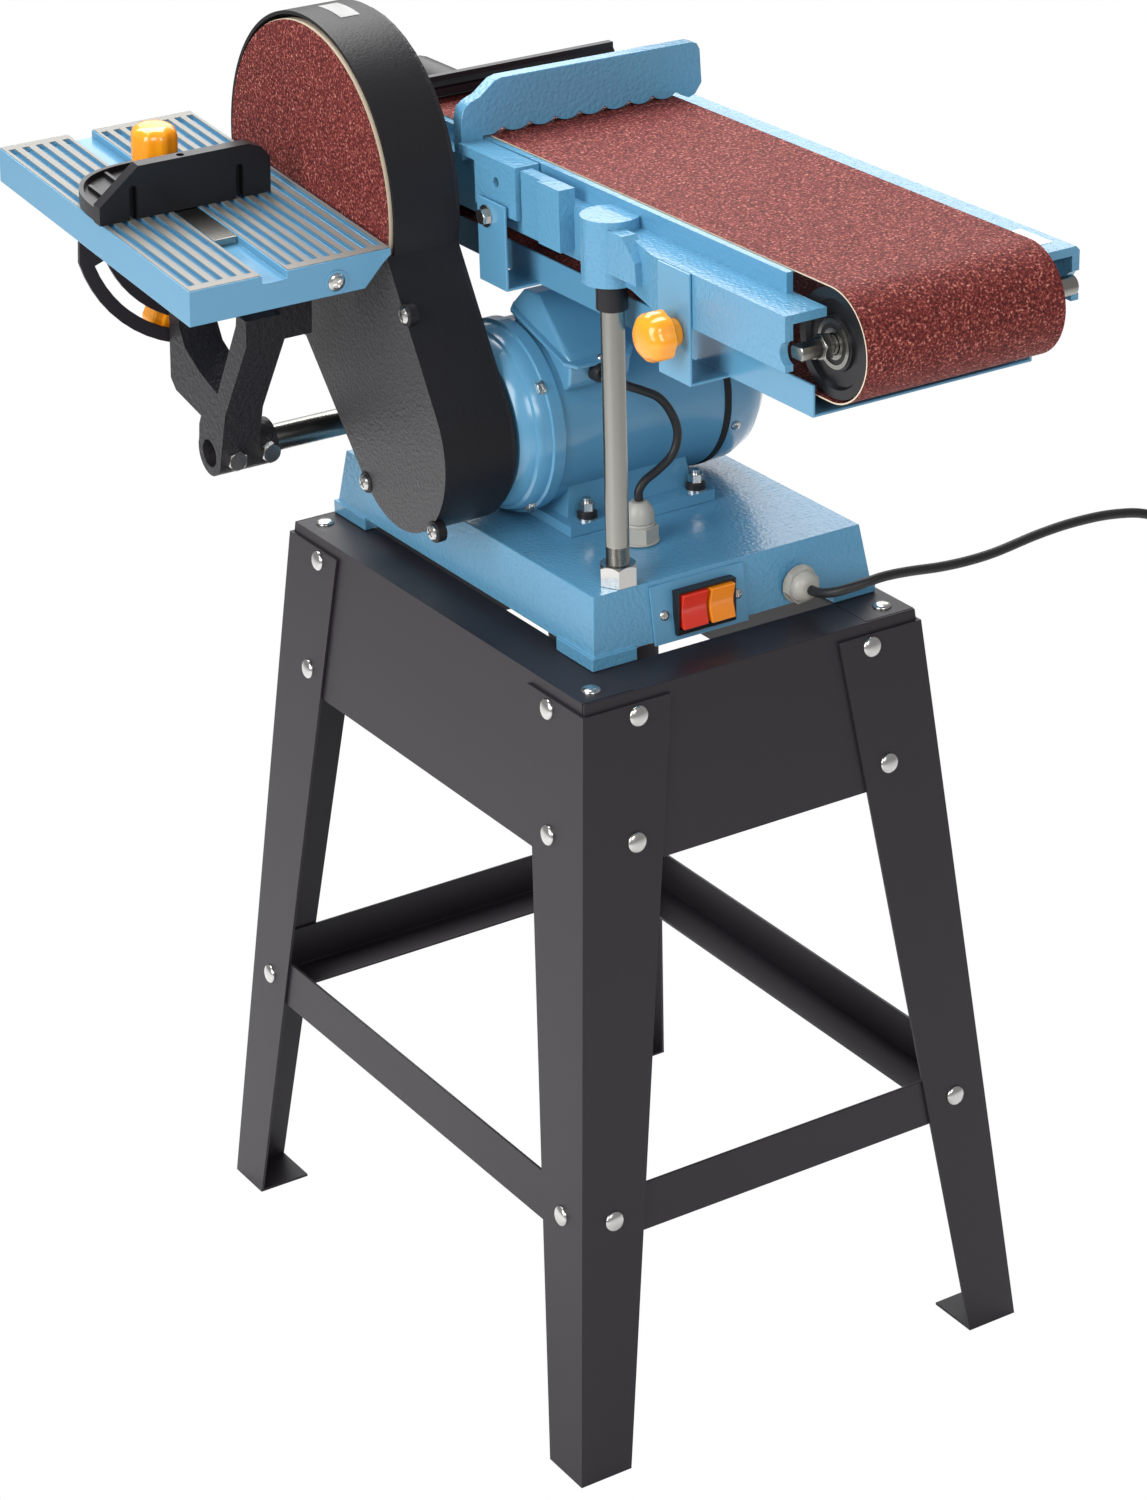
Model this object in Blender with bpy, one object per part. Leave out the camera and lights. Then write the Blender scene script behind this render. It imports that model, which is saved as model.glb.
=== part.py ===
"""Belt and disc sander on a sheet-metal stand.

Metres, +Z up. The machine frame has its origin under the middle of the stand, with +X from the sanding disc
to the motor's fan and -Y towards the switch. The empty "machine" moves that frame so that the world's origin
is the middle of the underside of the object's bounding box, free cord left out.
"""
from math import atan2, cos, hypot, pi, radians, sin, sqrt

import bmesh
import bpy
from mathutils import Vector

# ---------------------------------------------------------------- driving dimensions
ORIGIN_X = 0.0535
ORIGIN_Y = 0.0415
GAP = 0.0003

STAND_TOP_X, STAND_TOP_Y = 0.1385, 0.2000      # half sizes of the stand's top
STAND_FOOT_X, STAND_FOOT_Y = 0.1930, 0.2580    # half sizes at the floor
STAND_HEIGHT = 0.570
SHEET = 0.002
LEG_TOP = 0.562
LEG_WIDE, LEG_NARROW = 0.070, 0.042
APRON_BOTTOM = 0.447
APRON_FLANGE = 0.040
STRETCHER_Z = (0.178, 0.214)
STRETCHER_FLANGE = 0.032

BASE_X, BASE_Y = 0.0137, 0.0187
BASE_LOW = (0.1155, 0.1745)                    # half sizes of the casting's lower edge
BASE_HIGH = (0.1100, 0.1678)                   # half sizes of its top
BASE_PAD = (0.1177, 0.1770)
BASE_UNDER = 0.578
BASE_TOP = 0.620
BASE_WALL = 0.005
SWITCH_WINDOW = (-0.0350, 0.0100, 0.5840, 0.6110)
SWITCH_PLATE = 0.0018

MOTOR_Y, MOTOR_Z = 0.016, 0.692
MOTOR_R = 0.0665
MOTOR_X = (-0.0840, -0.0530, 0.0830, 0.1270)   # end bell, body, fan cover, end
SHAFT_Y, SHAFT_Z = 0.137, 0.847
DISC_FACE_X = -0.1415
DISC_R = 0.111
COVER_X = (-0.1395, -0.0915)
BRACKET_X, BRACKET_HUB_R = -0.2220, 0.0168          # left end of the yoke below the table
COVER_R_DISC, COVER_R_MOTOR = 0.1165, 0.0655
COVER_R_TAPER = 0.0842                         # distance from the shaft to the cover's two straight sides
COVER_MOTOR_Y, COVER_MOTOR_Z = 0.0225, 0.6900
GUARD_X, GUARD_TOP = -0.1450, 0.8213           # the lower face, which stands in front of the disc
COVER_WALL = 0.0025
PLATE_X = (-0.0910, -0.0870)                   # back plate of the spindle housing
BELT_PULLEY_X = (-0.1120, -0.0960)
MOTOR_PULLEY_R, SPINDLE_PULLEY_R = 0.028, 0.035
HOUSING_R = 0.028

IDLER_Y = -0.352
DRUM_R = 0.0362
BELT_R = 0.0375
BELT_X = (-0.0490, 0.1034)
RAIL_REAR_X, RAIL_FRONT_X = -0.0665, -0.0815   # outer face of the left rail
RAIL_Z = (0.835, 0.871)
LIP_TOP = 0.8842
RAIL_SHEET = 0.006
RAIL_INNER_X = -0.0505
PAD_X = -0.0780                                # outer face of the pads cast on the rail's left side
AXLE_R = 0.0065
RAIL_FRONT_Y = -0.350
RIGHT_X = 0.1460
POST_X, POST_Y, POST_R = -0.0685, -0.137, 0.0081
POST_TOP = 0.8140
BOSS_Z = (0.834, 0.8785)
BOSS_R = 0.0200
TRACKING = (-0.1440, 0.8405)                    # Y, Z of the tracking knob on the right channel
TRAY_KNOB_Y = -0.2340                           # the clamp screw of the dust tray, on the left rail
TRAY_Z = (0.7965, 0.818)
TRAY_Y = (-0.340, 0.095)
FENCE_Y = (0.040, 0.051)
FENCE_FOOT_Z = 0.8715
CLAMP_X, CLAMP_Y = -0.0765, (-0.0330, 0.0195)

ROD_Y, ROD_Z, ROD_R = 0.157, 0.656, 0.0098
TABLE_LEAN = radians(5.6)
TABLE_X = (-0.2980, -0.1455)
TABLE_LENGTH_Y = (-0.1232, 0.1660)             # in the table frame, whose origin is on the rod
TABLE_TOP_Z = 0.1873
TABLE_PLATE, TABLE_SKIRT = 0.008, 0.0256
PIVOT_X, PIVOT_Z = -0.1800, 0.1670
SLOT_X, SLOT_HALF, SLOT_DEPTH = -0.2345, 0.0092, 0.006
MITER_KNOB_Y = 0.0480
TRUNNION_Y = 0.0620

CORD_D = 0.007
CORD_EXIT = (0.0670, -0.1710, 0.5920)
COIL_MIDDLE = (0.4300, -0.2450)
COIL_R, COIL_HALF, COIL_TOP = 0.044, 0.0036, 0.030
PLUG_X = 0.4740                                # the plug's axis, beside the coil

BLUE = ((0.115, 0.345, 0.535), 0.35, 0.1)
BLACK_STEEL = ((0.028, 0.025, 0.029), 0.55, 0.2)
BLACK_PLASTIC = ((0.014, 0.014, 0.016), 0.45, 0.0)
COVER_BLACK = ((0.018, 0.017, 0.019), 0.6, 0.0)
IRON = ((0.022, 0.019, 0.024), 0.6, 0.1)
STEEL = ((0.56, 0.55, 0.53), 0.3, 1.0)
BARE = ((0.42, 0.41, 0.40), 0.4, 0.9)
ORANGE = ((0.95, 0.38, 0.02), 0.3, 0.0)
RED = ((0.75, 0.03, 0.02), 0.35, 0.0)
GREY = ((0.36, 0.34, 0.31), 0.5, 0.0)
GRIT = ((0.19, 0.045, 0.04), 0.85, 0.0)
RUBBER = ((0.02, 0.02, 0.02), 0.6, 0.0)

AXES = {"X": (1, 2, 0), "Y": (2, 0, 1), "Z": (0, 1, 2)}
groups = {}


# ---------------------------------------------------------------- making and placing
def clear_scene():
    for old in list(bpy.data.objects):
        bpy.data.objects.remove(old)


def material(look):
    colour, roughness, metallic = look
    name = "paint_%02d_%02d_%02d" % tuple(int(99 * c) for c in colour)
    found = bpy.data.materials.get(name)
    if found:
        return found
    made = bpy.data.materials.new(name)
    made.use_nodes = True
    shader = made.node_tree.nodes["Principled BSDF"]
    shader.inputs["Base Color"].default_value = (*colour, 1)
    shader.inputs["Roughness"].default_value = roughness
    shader.inputs["Metallic"].default_value = metallic
    made.diffuse_color = (*colour, 1)
    return made


def group(name, at=(0, 0, 0), inside=None, lean=0.0):
    """An empty on a joint's axis, or the frame that other empties stand in."""
    empty = bpy.data.objects.new(name, None)
    bpy.context.scene.collection.objects.link(empty)
    empty.location = at
    empty.rotation_euler = (lean, 0, 0)
    empty.parent = inside
    groups[name] = empty
    return empty


def piece(name, bm, look, on="fixed", smooth=True):
    """An object whose mesh is given in its frame's coordinates, hung on the empty of its body."""
    bmesh.ops.recalc_face_normals(bm, faces=bm.faces)
    mesh = bpy.data.meshes.new(name)
    bm.to_mesh(mesh)
    bm.free()
    made = bpy.data.objects.new(name, mesh)
    bpy.context.scene.collection.objects.link(made)
    made.parent = groups[on]
    made.location = -groups[on].location
    mesh.materials.append(material(look))
    if smooth:
        mesh.shade_smooth()
        mesh.set_sharp_from_angle(angle=radians(30))
    return made


def combine(target, bm, operation, on="fixed", solver="EXACT"):
    """Adds bm to the target, or cuts it away, with a Boolean whose other shape stays hidden."""
    other = piece(target.name + "_tool", bm, STEEL, on, smooth=False)
    other.hide_render = True
    other.display_type = "WIRE"
    boolean = target.modifiers.new(operation.lower(), "BOOLEAN")
    boolean.operation = operation
    boolean.solver = solver
    boolean.object = other


def add(target, bm, on="fixed", solver="EXACT"):
    combine(target, bm, "UNION", on, solver)


def cut(target, bm, on="fixed", solver="EXACT"):
    combine(target, bm, "DIFFERENCE", on, solver)


# ---------------------------------------------------------------- shapes
def loft(sections, closed=False):
    """A solid through sections with the same number of points, capped at both ends unless it closes on itself."""
    bm = bmesh.new()
    rings = [[bm.verts.new(p) for p in section] for section in sections]
    count = len(rings[0])
    pairs = list(zip(rings, rings[1:]))
    if closed:
        pairs.append((rings[-1], rings[0]))
    for low, high in pairs:
        for i in range(count):
            j = (i + 1) % count
            bm.faces.new((low[i], low[j], high[j], high[i]))
    if not closed:
        bm.faces.new(rings[0])
        bm.faces.new(rings[-1])
    return bm


def box(low, high):
    (x0, y0, z0), (x1, y1, z1) = low, high
    corners = ((x0, y0), (x1, y0), (x1, y1), (x0, y1))
    return loft([[(x, y, z) for x, y in corners] for z in (z0, z1)])


def prism(axis, outline, start, end):
    """An outline in the two other axes, in X, Y, Z order after the given one, extruded along the axis."""
    u, v, along = AXES[axis]
    sections = []
    for place in (start, end):
        section = []
        for a, b in outline:
            point = [0.0, 0.0, 0.0]
            point[u], point[v], point[along] = a, b, place
            section.append(point)
        sections.append(section)
    return loft(sections)


def turned(axis, centre, profile, segments=24, ring=False):
    """A profile of (place along the axis, radius) turned about the axis through centre."""
    u, v, along = AXES[axis]
    bm = bmesh.new()
    rings = []
    for place, radius in profile:
        verts = []
        for i in range(segments if radius > 0 else 1):
            angle = 2 * pi * (i + 0.5) / segments
            point = [0.0, 0.0, 0.0]
            point[u] = centre[0] + radius * cos(angle)
            point[v] = centre[1] + radius * sin(angle)
            point[along] = place
            verts.append(bm.verts.new(point))
        rings.append(verts)
    pairs = list(zip(rings, rings[1:]))
    if ring:
        pairs.append((rings[-1], rings[0]))
    for low, high in pairs:
        for i in range(segments):
            j = (i + 1) % segments
            if len(low) == 1:
                bm.faces.new((low[0], high[i], high[j]))
            elif len(high) == 1:
                bm.faces.new((low[i], low[j], high[0]))
            else:
                bm.faces.new((low[i], low[j], high[j], high[i]))
    return bm


def rod(axis, centre, radius, start, end, segments=24):
    return turned(axis, centre, [(start, 0), (start, radius), (end, radius), (end, 0)], segments)


def tube(axis, centre, outer, inner, start, end, segments=24):
    profile = [(start, outer), (end, outer), (end, inner), (start, inner)]
    return turned(axis, centre, profile, segments, ring=True)


def arc(centre, radius, start, end, steps):
    """Points of an arc, angles in degrees."""
    points = []
    for i in range(steps + 1):
        angle = radians(start + (end - start) * i / steps)
        points.append((centre[0] + radius * cos(angle), centre[1] + radius * sin(angle)))
    return points


def wrapped(big, big_r, small, small_r, steps):
    """The outline of a band round two circles."""
    along = atan2(big[1] - small[1], big[0] - small[0])
    apart = hypot(big[0] - small[0], big[1] - small[1])
    lift = pi / 2 + atan2(big_r - small_r, sqrt(apart ** 2 - (big_r - small_r) ** 2))
    a, b = (along + lift) * 180 / pi, (along - lift) * 180 / pi
    return arc(big, big_r, b, a, steps) + arc(small, small_r, a, b + 360, steps)


def band(axis, outer, inner, start, end):
    """A closed band between two outlines with the same number of points."""
    u, v, along = AXES[axis]
    sections = []
    for (a, b), (c, d) in zip(outer, inner):
        section = []
        for p, q, place in ((a, b, start), (a, b, end), (c, d, end), (c, d, start)):
            point = [0.0, 0.0, 0.0]
            point[u], point[v], point[along] = p, q, place
            section.append(point)
        sections.append(section)
    return loft(sections, closed=True)


# ---------------------------------------------------------------- stand
def half_x(z):
    return STAND_FOOT_X + (STAND_TOP_X - STAND_FOOT_X) * z / STAND_HEIGHT


def half_y(z):
    return STAND_FOOT_Y + (STAND_TOP_Y - STAND_FOOT_Y) * z / STAND_HEIGHT


def make_leg(name, sx, sy):
    sections = []
    for z, width in ((0.0, LEG_NARROW), (LEG_TOP, LEG_WIDE)):
        x, y = half_x(z), half_y(z)
        steps = ((0, 0), (width, 0), (width, SHEET), (SHEET, SHEET), (SHEET, width), (0, width))
        sections.append([(sx * (x - a), sy * (y - b), z) for a, b in steps])
    leg = piece(name, loft(sections), BLACK_STEEL, smooth=False)
    x, y = sx * half_x(0), sy * half_y(0)
    inset = SHEET / 2
    foot = box((min(x - sx * inset, x - sx * LEG_NARROW), min(y - sy * inset, y - sy * LEG_NARROW), 0),
               (max(x - sx * inset, x - sx * LEG_NARROW), max(y - sy * inset, y - sy * LEG_NARROW), SHEET))
    add(leg, foot)


def bent_sheet(side, along_x, section):
    """A bent sheet whose section points are (outward place, height, half length)."""
    sections = []
    for end in (-1, 1):
        ring = []
        for out, z, run in section:
            ring.append((end * run, side * out, z) if along_x else (side * out, end * run, z))
        sections.append(ring)
    return loft(sections)


def make_rail(name, side, along_x, heights, flange, flange_z):
    """A web between two heights behind the legs, with a flange turned inwards at one of its edges."""
    low, high = heights
    out = half_y if along_x else half_x
    across = half_x if along_x else half_y
    inset = SHEET + GAP
    end = inset if along_x else 2 * inset
    web = []
    for z, depth in ((low, 0), (high, 0), (high, SHEET), (low, SHEET)):
        web.append((out(z) - inset - depth, z, across(z) - end))
    rail = piece(name, bent_sheet(side, along_x, web), BLACK_STEEL, smooth=False)
    edge = out(flange_z) - inset - SHEET / 2
    run = across(flange_z + SHEET) - inset - (flange + 3 * GAP if along_x else inset)
    bottom, top = flange_z, flange_z + SHEET
    tongue = [(edge, bottom, run), (edge, top, run), (edge - flange, top, run), (edge - flange, bottom, run)]
    add(rail, bent_sheet(side, along_x, tongue))


def make_apron(name, side, along_x):
    make_rail(name, side, along_x, (APRON_BOTTOM, STAND_HEIGHT), APRON_FLANGE, STAND_HEIGHT - SHEET)


def make_stretcher(name, side, along_x):
    make_rail(name, side, along_x, STRETCHER_Z, STRETCHER_FLANGE, STRETCHER_Z[0])


def make_stand():
    for front, sy in (("front", -1), ("rear", 1)):
        for left, sx in (("left", -1), ("right", 1)):
            make_leg("leg_%s_%s" % (front, left), sx, sy)
    for name, side, along_x in (("front", -1, True), ("rear", 1, True), ("left", -1, False), ("right", 1, False)):
        make_apron("apron_" + name, side, along_x)
        make_stretcher("stretcher_" + name, side, along_x)


# ---------------------------------------------------------------- base and switch
def base_half(z, inset=0.0):
    share = (z - BASE_UNDER) / (BASE_TOP - BASE_UNDER)
    return [low + (high - low) * share - inset for low, high in zip(BASE_LOW, BASE_HIGH)]


def base_ring(z, inset=0.0):
    hx, hy = base_half(z, inset)
    return [(BASE_X + sx * hx, BASE_Y + sy * hy, z) for sx, sy in ((-1, -1), (1, -1), (1, 1), (-1, 1))]


def base_front(z):
    return BASE_Y - base_half(z)[1]


def front_block(x0, x1, z0, z1, near, far):
    """A block on the sloping front face of the base, between two distances from it."""
    ring = []
    for z, out in ((z0, near), (z1, near), (z1, far), (z0, far)):
        ring.append((base_front(z) - out, z))
    return prism("X", ring, x0, x1)


def make_base():
    base = piece("base_casting", loft([base_ring(BASE_UNDER), base_ring(BASE_TOP)]), BLUE)
    cut(base, loft([base_ring(BASE_UNDER - 0.01, BASE_WALL), base_ring(BASE_TOP - BASE_WALL, BASE_WALL)]))
    pad_x, pad_y = 0.036, 0.046
    for sx in (-1, 1):
        for sy in (-1, 1):
            x, y = BASE_X + sx * BASE_PAD[0], BASE_Y + sy * BASE_PAD[1]
            xs, ys = sorted((x, x - sx * pad_x)), sorted((y, y - sy * pad_y))
            add(base, box((xs[0], ys[0], STAND_HEIGHT + GAP), (xs[1], ys[1], BASE_UNDER + 0.002)))
    cut(base, front_block(*SWITCH_WINDOW, -0.02, 0.02))
    plate = piece("switch_plate", front_block(-0.053, 0.024, 0.5760, 0.6170, GAP, SWITCH_PLATE), BLUE)
    cut(plate, front_block(*SWITCH_WINDOW, -0.01, 0.02))
    piece("rocker_switch", front_block(-0.0335, -0.0130, 0.5850, 0.6100, -0.004, 0.0095), RED, "rocker")
    piece("safety_key", front_block(-0.0110, 0.0085, 0.5850, 0.6100, -0.004, 0.0105), ORANGE, "key")
    gland_y = base_front(CORD_EXIT[2])
    hexagon = [(gland_y - 0.0026, 0), (gland_y - 0.0026, 0.0125), (gland_y - 0.0105, 0.0125),
               (gland_y - 0.0105, 0.0100), (CORD_EXIT[1] + 4 * GAP, 0.0060), (CORD_EXIT[1] + 4 * GAP, 0)]
    piece("cord_gland", turned("Y", (CORD_EXIT[2], CORD_EXIT[0]), hexagon[::-1], 12), GREY)
    dome = [(BASE_TOP + GAP, 0), (BASE_TOP + GAP, 0.0125), (BASE_TOP + 0.012, 0.0125), (BASE_TOP + 0.013, 0.010),
            (BASE_TOP + 0.026, 0.0085), (BASE_TOP + 0.030, 0.005), (BASE_TOP + 0.030, 0)]
    piece("motor_gland", turned("Z", (-0.017, -0.085), dome, 12), GREY)


# ---------------------------------------------------------------- motor
def make_motor():
    centre = (MOTOR_Y, MOTOR_Z)
    x0, x1, x2, x3 = MOTOR_X
    bell = [(x0, 0.020), (x0, 0.058), (x0 + 0.010, 0.0655), (x0 + 0.016, 0.069), (x1 - GAP, 0.069), (x1 - GAP, 0.020)]
    piece("motor_end_bell", turned("X", centre, bell, 32, ring=True), BLUE)
    body = piece("motor_body", tube("X", centre, MOTOR_R, 0.046, x1, x2, 32), BLUE)
    foot_low, foot_high = BASE_TOP + GAP, BASE_TOP + 0.010
    add(body, box((x1, MOTOR_Y - 0.069, foot_low), (0.068, MOTOR_Y + 0.069, foot_high)))
    for side in (-1, 1):
        edge = sorted((MOTOR_Y + side * 0.030, MOTOR_Y + side * 0.048))
        add(body, box((-0.045, edge[0], foot_high - 0.001), (0.060, edge[1], MOTOR_Z - 0.040)))
    lid = [(-0.0560, 0.7421), (0.0260, 0.7665), (0.0260, 0.7700), (0.0160, 0.7815), (-0.0010, 0.7829),
           (-0.0470, 0.7513), (-0.0560, 0.7451)]
    terminal_box = piece("terminal_box", prism("X", lid, -0.0525, 0.0040), BLUE)
    add(terminal_box, box((-0.0500, -0.0540, 0.7300), (-0.0010, -0.0415, 0.7440)))
    profile = [(x2 + GAP, 0.0640), (x3 - 0.020, 0.0640), (x3 - 0.006, 0.056), (x3, 0.042), (x3, 0.012),
               (x3 - 0.002, 0.012), (x3 - 0.002, 0.041), (x3 - 0.008, 0.054), (x3 - 0.020, 0.0620),
               (x2 + GAP, 0.0620)]
    piece("fan_cover", turned("X", centre, profile, 32, ring=True), BLUE)
    rotor = [(-0.118, 0), (-0.118, 0.0095), (-0.045, 0.0095), (-0.045, 0.0400), (0.070, 0.0400),
             (0.070, 0.0090), (0.095, 0.0090), (0.095, 0.050), (0.099, 0.050), (0.099, 0.0080),
             (0.104, 0.0080), (0.104, 0)]
    piece("motor_rotor", turned("X", centre, rotor, 24), STEEL, "rotor")
    make_pulley("motor_pulley", centre, MOTOR_PULLEY_R, 0.0098, "rotor")
    lead = [(-0.0270, -0.0544, 0.7370), (-0.0270, -0.0600, 0.7370), (-0.0255, -0.0690, 0.7355),
            (-0.0190, -0.0780, 0.7320), (-0.0100, -0.0830, 0.7280), (0.0000, -0.0850, 0.7220),
            (0.0100, -0.0855, 0.7090), (0.0155, -0.0855, 0.6920), (0.0110, -0.0855, 0.6780),
            (-0.0010, -0.0850, 0.6690), (-0.0125, -0.0850, 0.6630), (-0.0170, -0.0850, 0.6570),
            (-0.0170, -0.0850, BASE_TOP + 0.030 + 2 * GAP)]
    cord_object("motor_lead", smooth_path(lead, 0.007), 0.0060, RUBBER)


def make_pulley(name, centre, radius, bore, on):
    low, high = BELT_PULLEY_X
    middle = (low + high) / 2
    groove = radius - 0.008
    profile = [(low, radius), (low + 0.002, radius), (middle - 0.003, groove), (middle + 0.003, groove),
               (high - 0.002, radius), (high, radius), (high, bore), (low, bore)]
    piece(name, turned("X", centre, profile, 24, ring=True), BARE, on)


# ---------------------------------------------------------------- spindle, cover, disc
def taper(inset, steps=16):
    return wrapped((SHAFT_Y, SHAFT_Z), COVER_R_TAPER - inset, (COVER_MOTOR_Y, COVER_MOTOR_Z),
                   COVER_R_MOTOR - inset, steps)


def make_drive():
    shaft, motor = (SHAFT_Y, SHAFT_Z), (MOTOR_Y, MOTOR_Z)
    low, high = COVER_X
    cover = piece("pulley_cover", prism("X", taper(0), GUARD_X, high), COVER_BLACK)
    add(cover, rod("X", shaft, COVER_R_DISC, GUARD_X, high, 48))
    cut(cover, box((GUARD_X - 0.01, -0.20, GUARD_TOP), (low, 0.40, 1.10)))
    inside = GUARD_X + COVER_WALL
    cut(cover, prism("X", taper(COVER_WALL), inside, high + 0.01))
    cut(cover, rod("X", shaft, COVER_R_DISC - COVER_WALL, inside, high + 0.01, 48))

    housing = piece("spindle_housing", prism("X", taper(COVER_WALL), *PLATE_X), IRON)
    add(housing, rod("X", shaft, COVER_R_DISC - COVER_WALL, *PLATE_X, 48))
    cut(housing, rod("X", motor, 0.026, PLATE_X[0] - 0.01, PLATE_X[1] + 0.01, 16))
    column = [(0.108, BASE_TOP + GAP), (0.170, BASE_TOP + GAP), (0.162, 0.640), (0.160, SHAFT_Z),
              (0.114, SHAFT_Z), (0.112, 0.640)]
    add(housing, prism("X", column, PLATE_X[1] - 0.001, -0.0840))
    add(housing, rod("X", shaft, HOUSING_R, PLATE_X[1] - 0.001, -0.0560, 32))
    cut(housing, rod("X", shaft, 0.0110, PLATE_X[0] - 0.01, -0.04, 24))
    cut(housing, rod("X", (ROD_Y, ROD_Z), ROD_R + 0.0015, PLATE_X[0] - 0.01, -0.07, 24))

    shaft_profile = [(-0.1290, 0), (-0.1290, 0.0095), (0.1380, 0.0095), (0.1380, 0)]
    piece("main_shaft", turned("X", shaft, shaft_profile, 24), STEEL, "spindle")
    make_pulley("driven_pulley", shaft, SPINDLE_PULLEY_R, 0.0098, "spindle")
    drum = [(BELT_X[0] + 0.003, DRUM_R - 0.001), (BELT_X[0] + 0.030, DRUM_R), (BELT_X[1] - 0.030, DRUM_R),
            (BELT_X[1] - 0.003, DRUM_R - 0.001), (BELT_X[1] - 0.003, 0.0098), (BELT_X[0] + 0.003, 0.0098)]
    piece("drive_drum", turned("X", shaft, drum, 32, ring=True), BLACK_PLASTIC, "spindle")
    grit = 0.0012
    back = DISC_FACE_X + grit + GAP
    disc = [(back, 0), (back, DISC_R), (back + 0.007, DISC_R), (back + 0.007, 0.030), (-0.1295, 0.018),
            (-0.1293, 0)]
    piece("disc_plate", turned("X", shaft, disc, 32), BARE, "spindle")
    piece("abrasive_disc", rod("X", shaft, DISC_R - 0.0005, DISC_FACE_X, DISC_FACE_X + grit, 32), GRIT, "spindle")
    middle = sum(BELT_PULLEY_X) / 2
    outer = wrapped(shaft, SPINDLE_PULLEY_R + 0.001, motor, MOTOR_PULLEY_R + 0.001, 10)
    inner = wrapped(shaft, SPINDLE_PULLEY_R - 0.0060, motor, MOTOR_PULLEY_R - 0.0060, 10)
    piece("drive_belt", band("X", outer, inner, middle - 0.0024, middle + 0.0024), RUBBER)


# ---------------------------------------------------------------- belt arm
def make_left_rail():
    shaft, idler = (SHAFT_Y, SHAFT_Z), (IDLER_Y, SHAFT_Z)
    low, high = RAIL_Z
    sections = []
    for y, outer in ((0.104, RAIL_REAR_X), (-0.112, RAIL_REAR_X), (-0.165, -0.0715), (-0.205, RAIL_FRONT_X),
                     (RAIL_FRONT_Y, RAIL_FRONT_X)):
        web = outer + RAIL_SHEET
        corner = ((outer, low), (web, low), (web, high - RAIL_SHEET), (RAIL_INNER_X, high - RAIL_SHEET),
                  (RAIL_INNER_X, high), (outer, high))
        sections.append([(x, y, z) for x, z in corner])
    rail = piece("left_rail", loft(sections), BLUE, "arm")
    add(rail, box((RAIL_INNER_X - 0.0050, -0.315, high - 0.002), (RAIL_INNER_X - 0.0002, 0.1035, LIP_TOP)), "arm")
    add(rail, box((PAD_X, 0.0950, 0.8290), (-0.0560, SHAFT_Y, 0.8650)), "arm")
    add(rail, rod("X", shaft, 0.0370, PAD_X + 0.0003, -0.0557, 32), "arm")
    cut(rail, rod("X", shaft, HOUSING_R + 0.00035, -0.09, -0.04, 32), "arm")
    add(rail, rod("Z", (POST_X, POST_Y), BOSS_R, BOSS_Z[0], BOSS_Z[1], 24), "arm", "MANIFOLD")
    for y0, y1, x in ((-0.0899, -0.0630, PAD_X), (-0.0640, -0.0370, PAD_X + 0.0035)):
        add(rail, box((x, y0, 0.8410), (RAIL_REAR_X + 0.001, y1, 0.8835)), "arm", "MANIFOLD")
    gusset = [(-0.150, 0.845), (-0.1860, 0.845), (-0.1845, 0.8600), (-0.1700, 0.8740), (-0.150, 0.8740)]
    add(rail, prism("X", gusset, PAD_X - 0.0035, -0.0705), "arm", "MANIFOLD")
    cut(rail, rod("X", idler, 0.0080, -0.09, RAIL_FRONT_X + 0.007, 16), "arm", "MANIFOLD")


def make_right_channel():
    shaft, idler = (SHAFT_Y, SHAFT_Z), (IDLER_Y, SHAFT_Z)
    low, high = RAIL_Z
    web, inner = RIGHT_X - RAIL_SHEET, 0.1100
    section = [(RIGHT_X, low), (web, low), (web, high - RAIL_SHEET), (inner, high - RAIL_SHEET), (inner, high),
               (RIGHT_X - 0.003, high), (RIGHT_X, high - 0.003)]
    outline = [(z, x) for x, z in section]
    channel = piece("right_channel", prism("Y", outline, RAIL_FRONT_Y, 0.104), BLUE, "arm")
    add(channel, box((RIGHT_X - 0.022, 0.0950, 0.8290), (RIGHT_X - 0.0003, SHAFT_Y, 0.8650)), "arm")
    add(channel, rod("X", shaft, 0.0340, RIGHT_X - 0.0217, RIGHT_X - 0.0006, 24), "arm")
    cut(channel, rod("X", shaft, 0.0105, RIGHT_X - 0.04, RIGHT_X - 0.004, 24), "arm")
    cut(channel, rod("X", idler, 0.0080, web - 0.001, RIGHT_X + 0.01, 16), "arm")


def make_platen():
    top = SHAFT_Z + BELT_R - 0.0014
    platen = piece("platen", box((-0.0490, -0.305, top - 0.0045), (0.1060, 0.088, top)), BARE, "arm")
    left, right = RAIL_REAR_X + RAIL_SHEET + GAP, RIGHT_X - RAIL_SHEET - GAP
    add(platen, box((left, -0.060, 0.843), (right, -0.005, RAIL_Z[1] - RAIL_SHEET - GAP)), "arm")
    add(platen, box((-0.040, -0.045, 0.862), (0.094, -0.020, top - 0.004)), "arm")


def make_tray():
    wall = 0.002
    left, right = -0.0535, 0.1180
    low, high = TRAY_Z
    tray = piece("belt_tray", box((left, TRAY_Y[0], low), (right, TRAY_Y[1], high)), BLUE, "arm")
    cut(tray, box((left + wall, TRAY_Y[0] - 0.01, low + wall), (right - wall, TRAY_Y[1] + 0.01, 0.83)), "arm")
    for y0, y1, z1, face in ((-0.2500, -0.2140, 0.8710, RAIL_FRONT_X), (-0.0240, 0.0115, 0.8560, PAD_X)):
        outer = face - GAP - wall
        add(tray, box((outer, y0, low), (left + 0.001, y1, low + wall)), "arm")
        add(tray, box((outer, y0, low), (outer + wall, y1, z1)), "arm")


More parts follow.
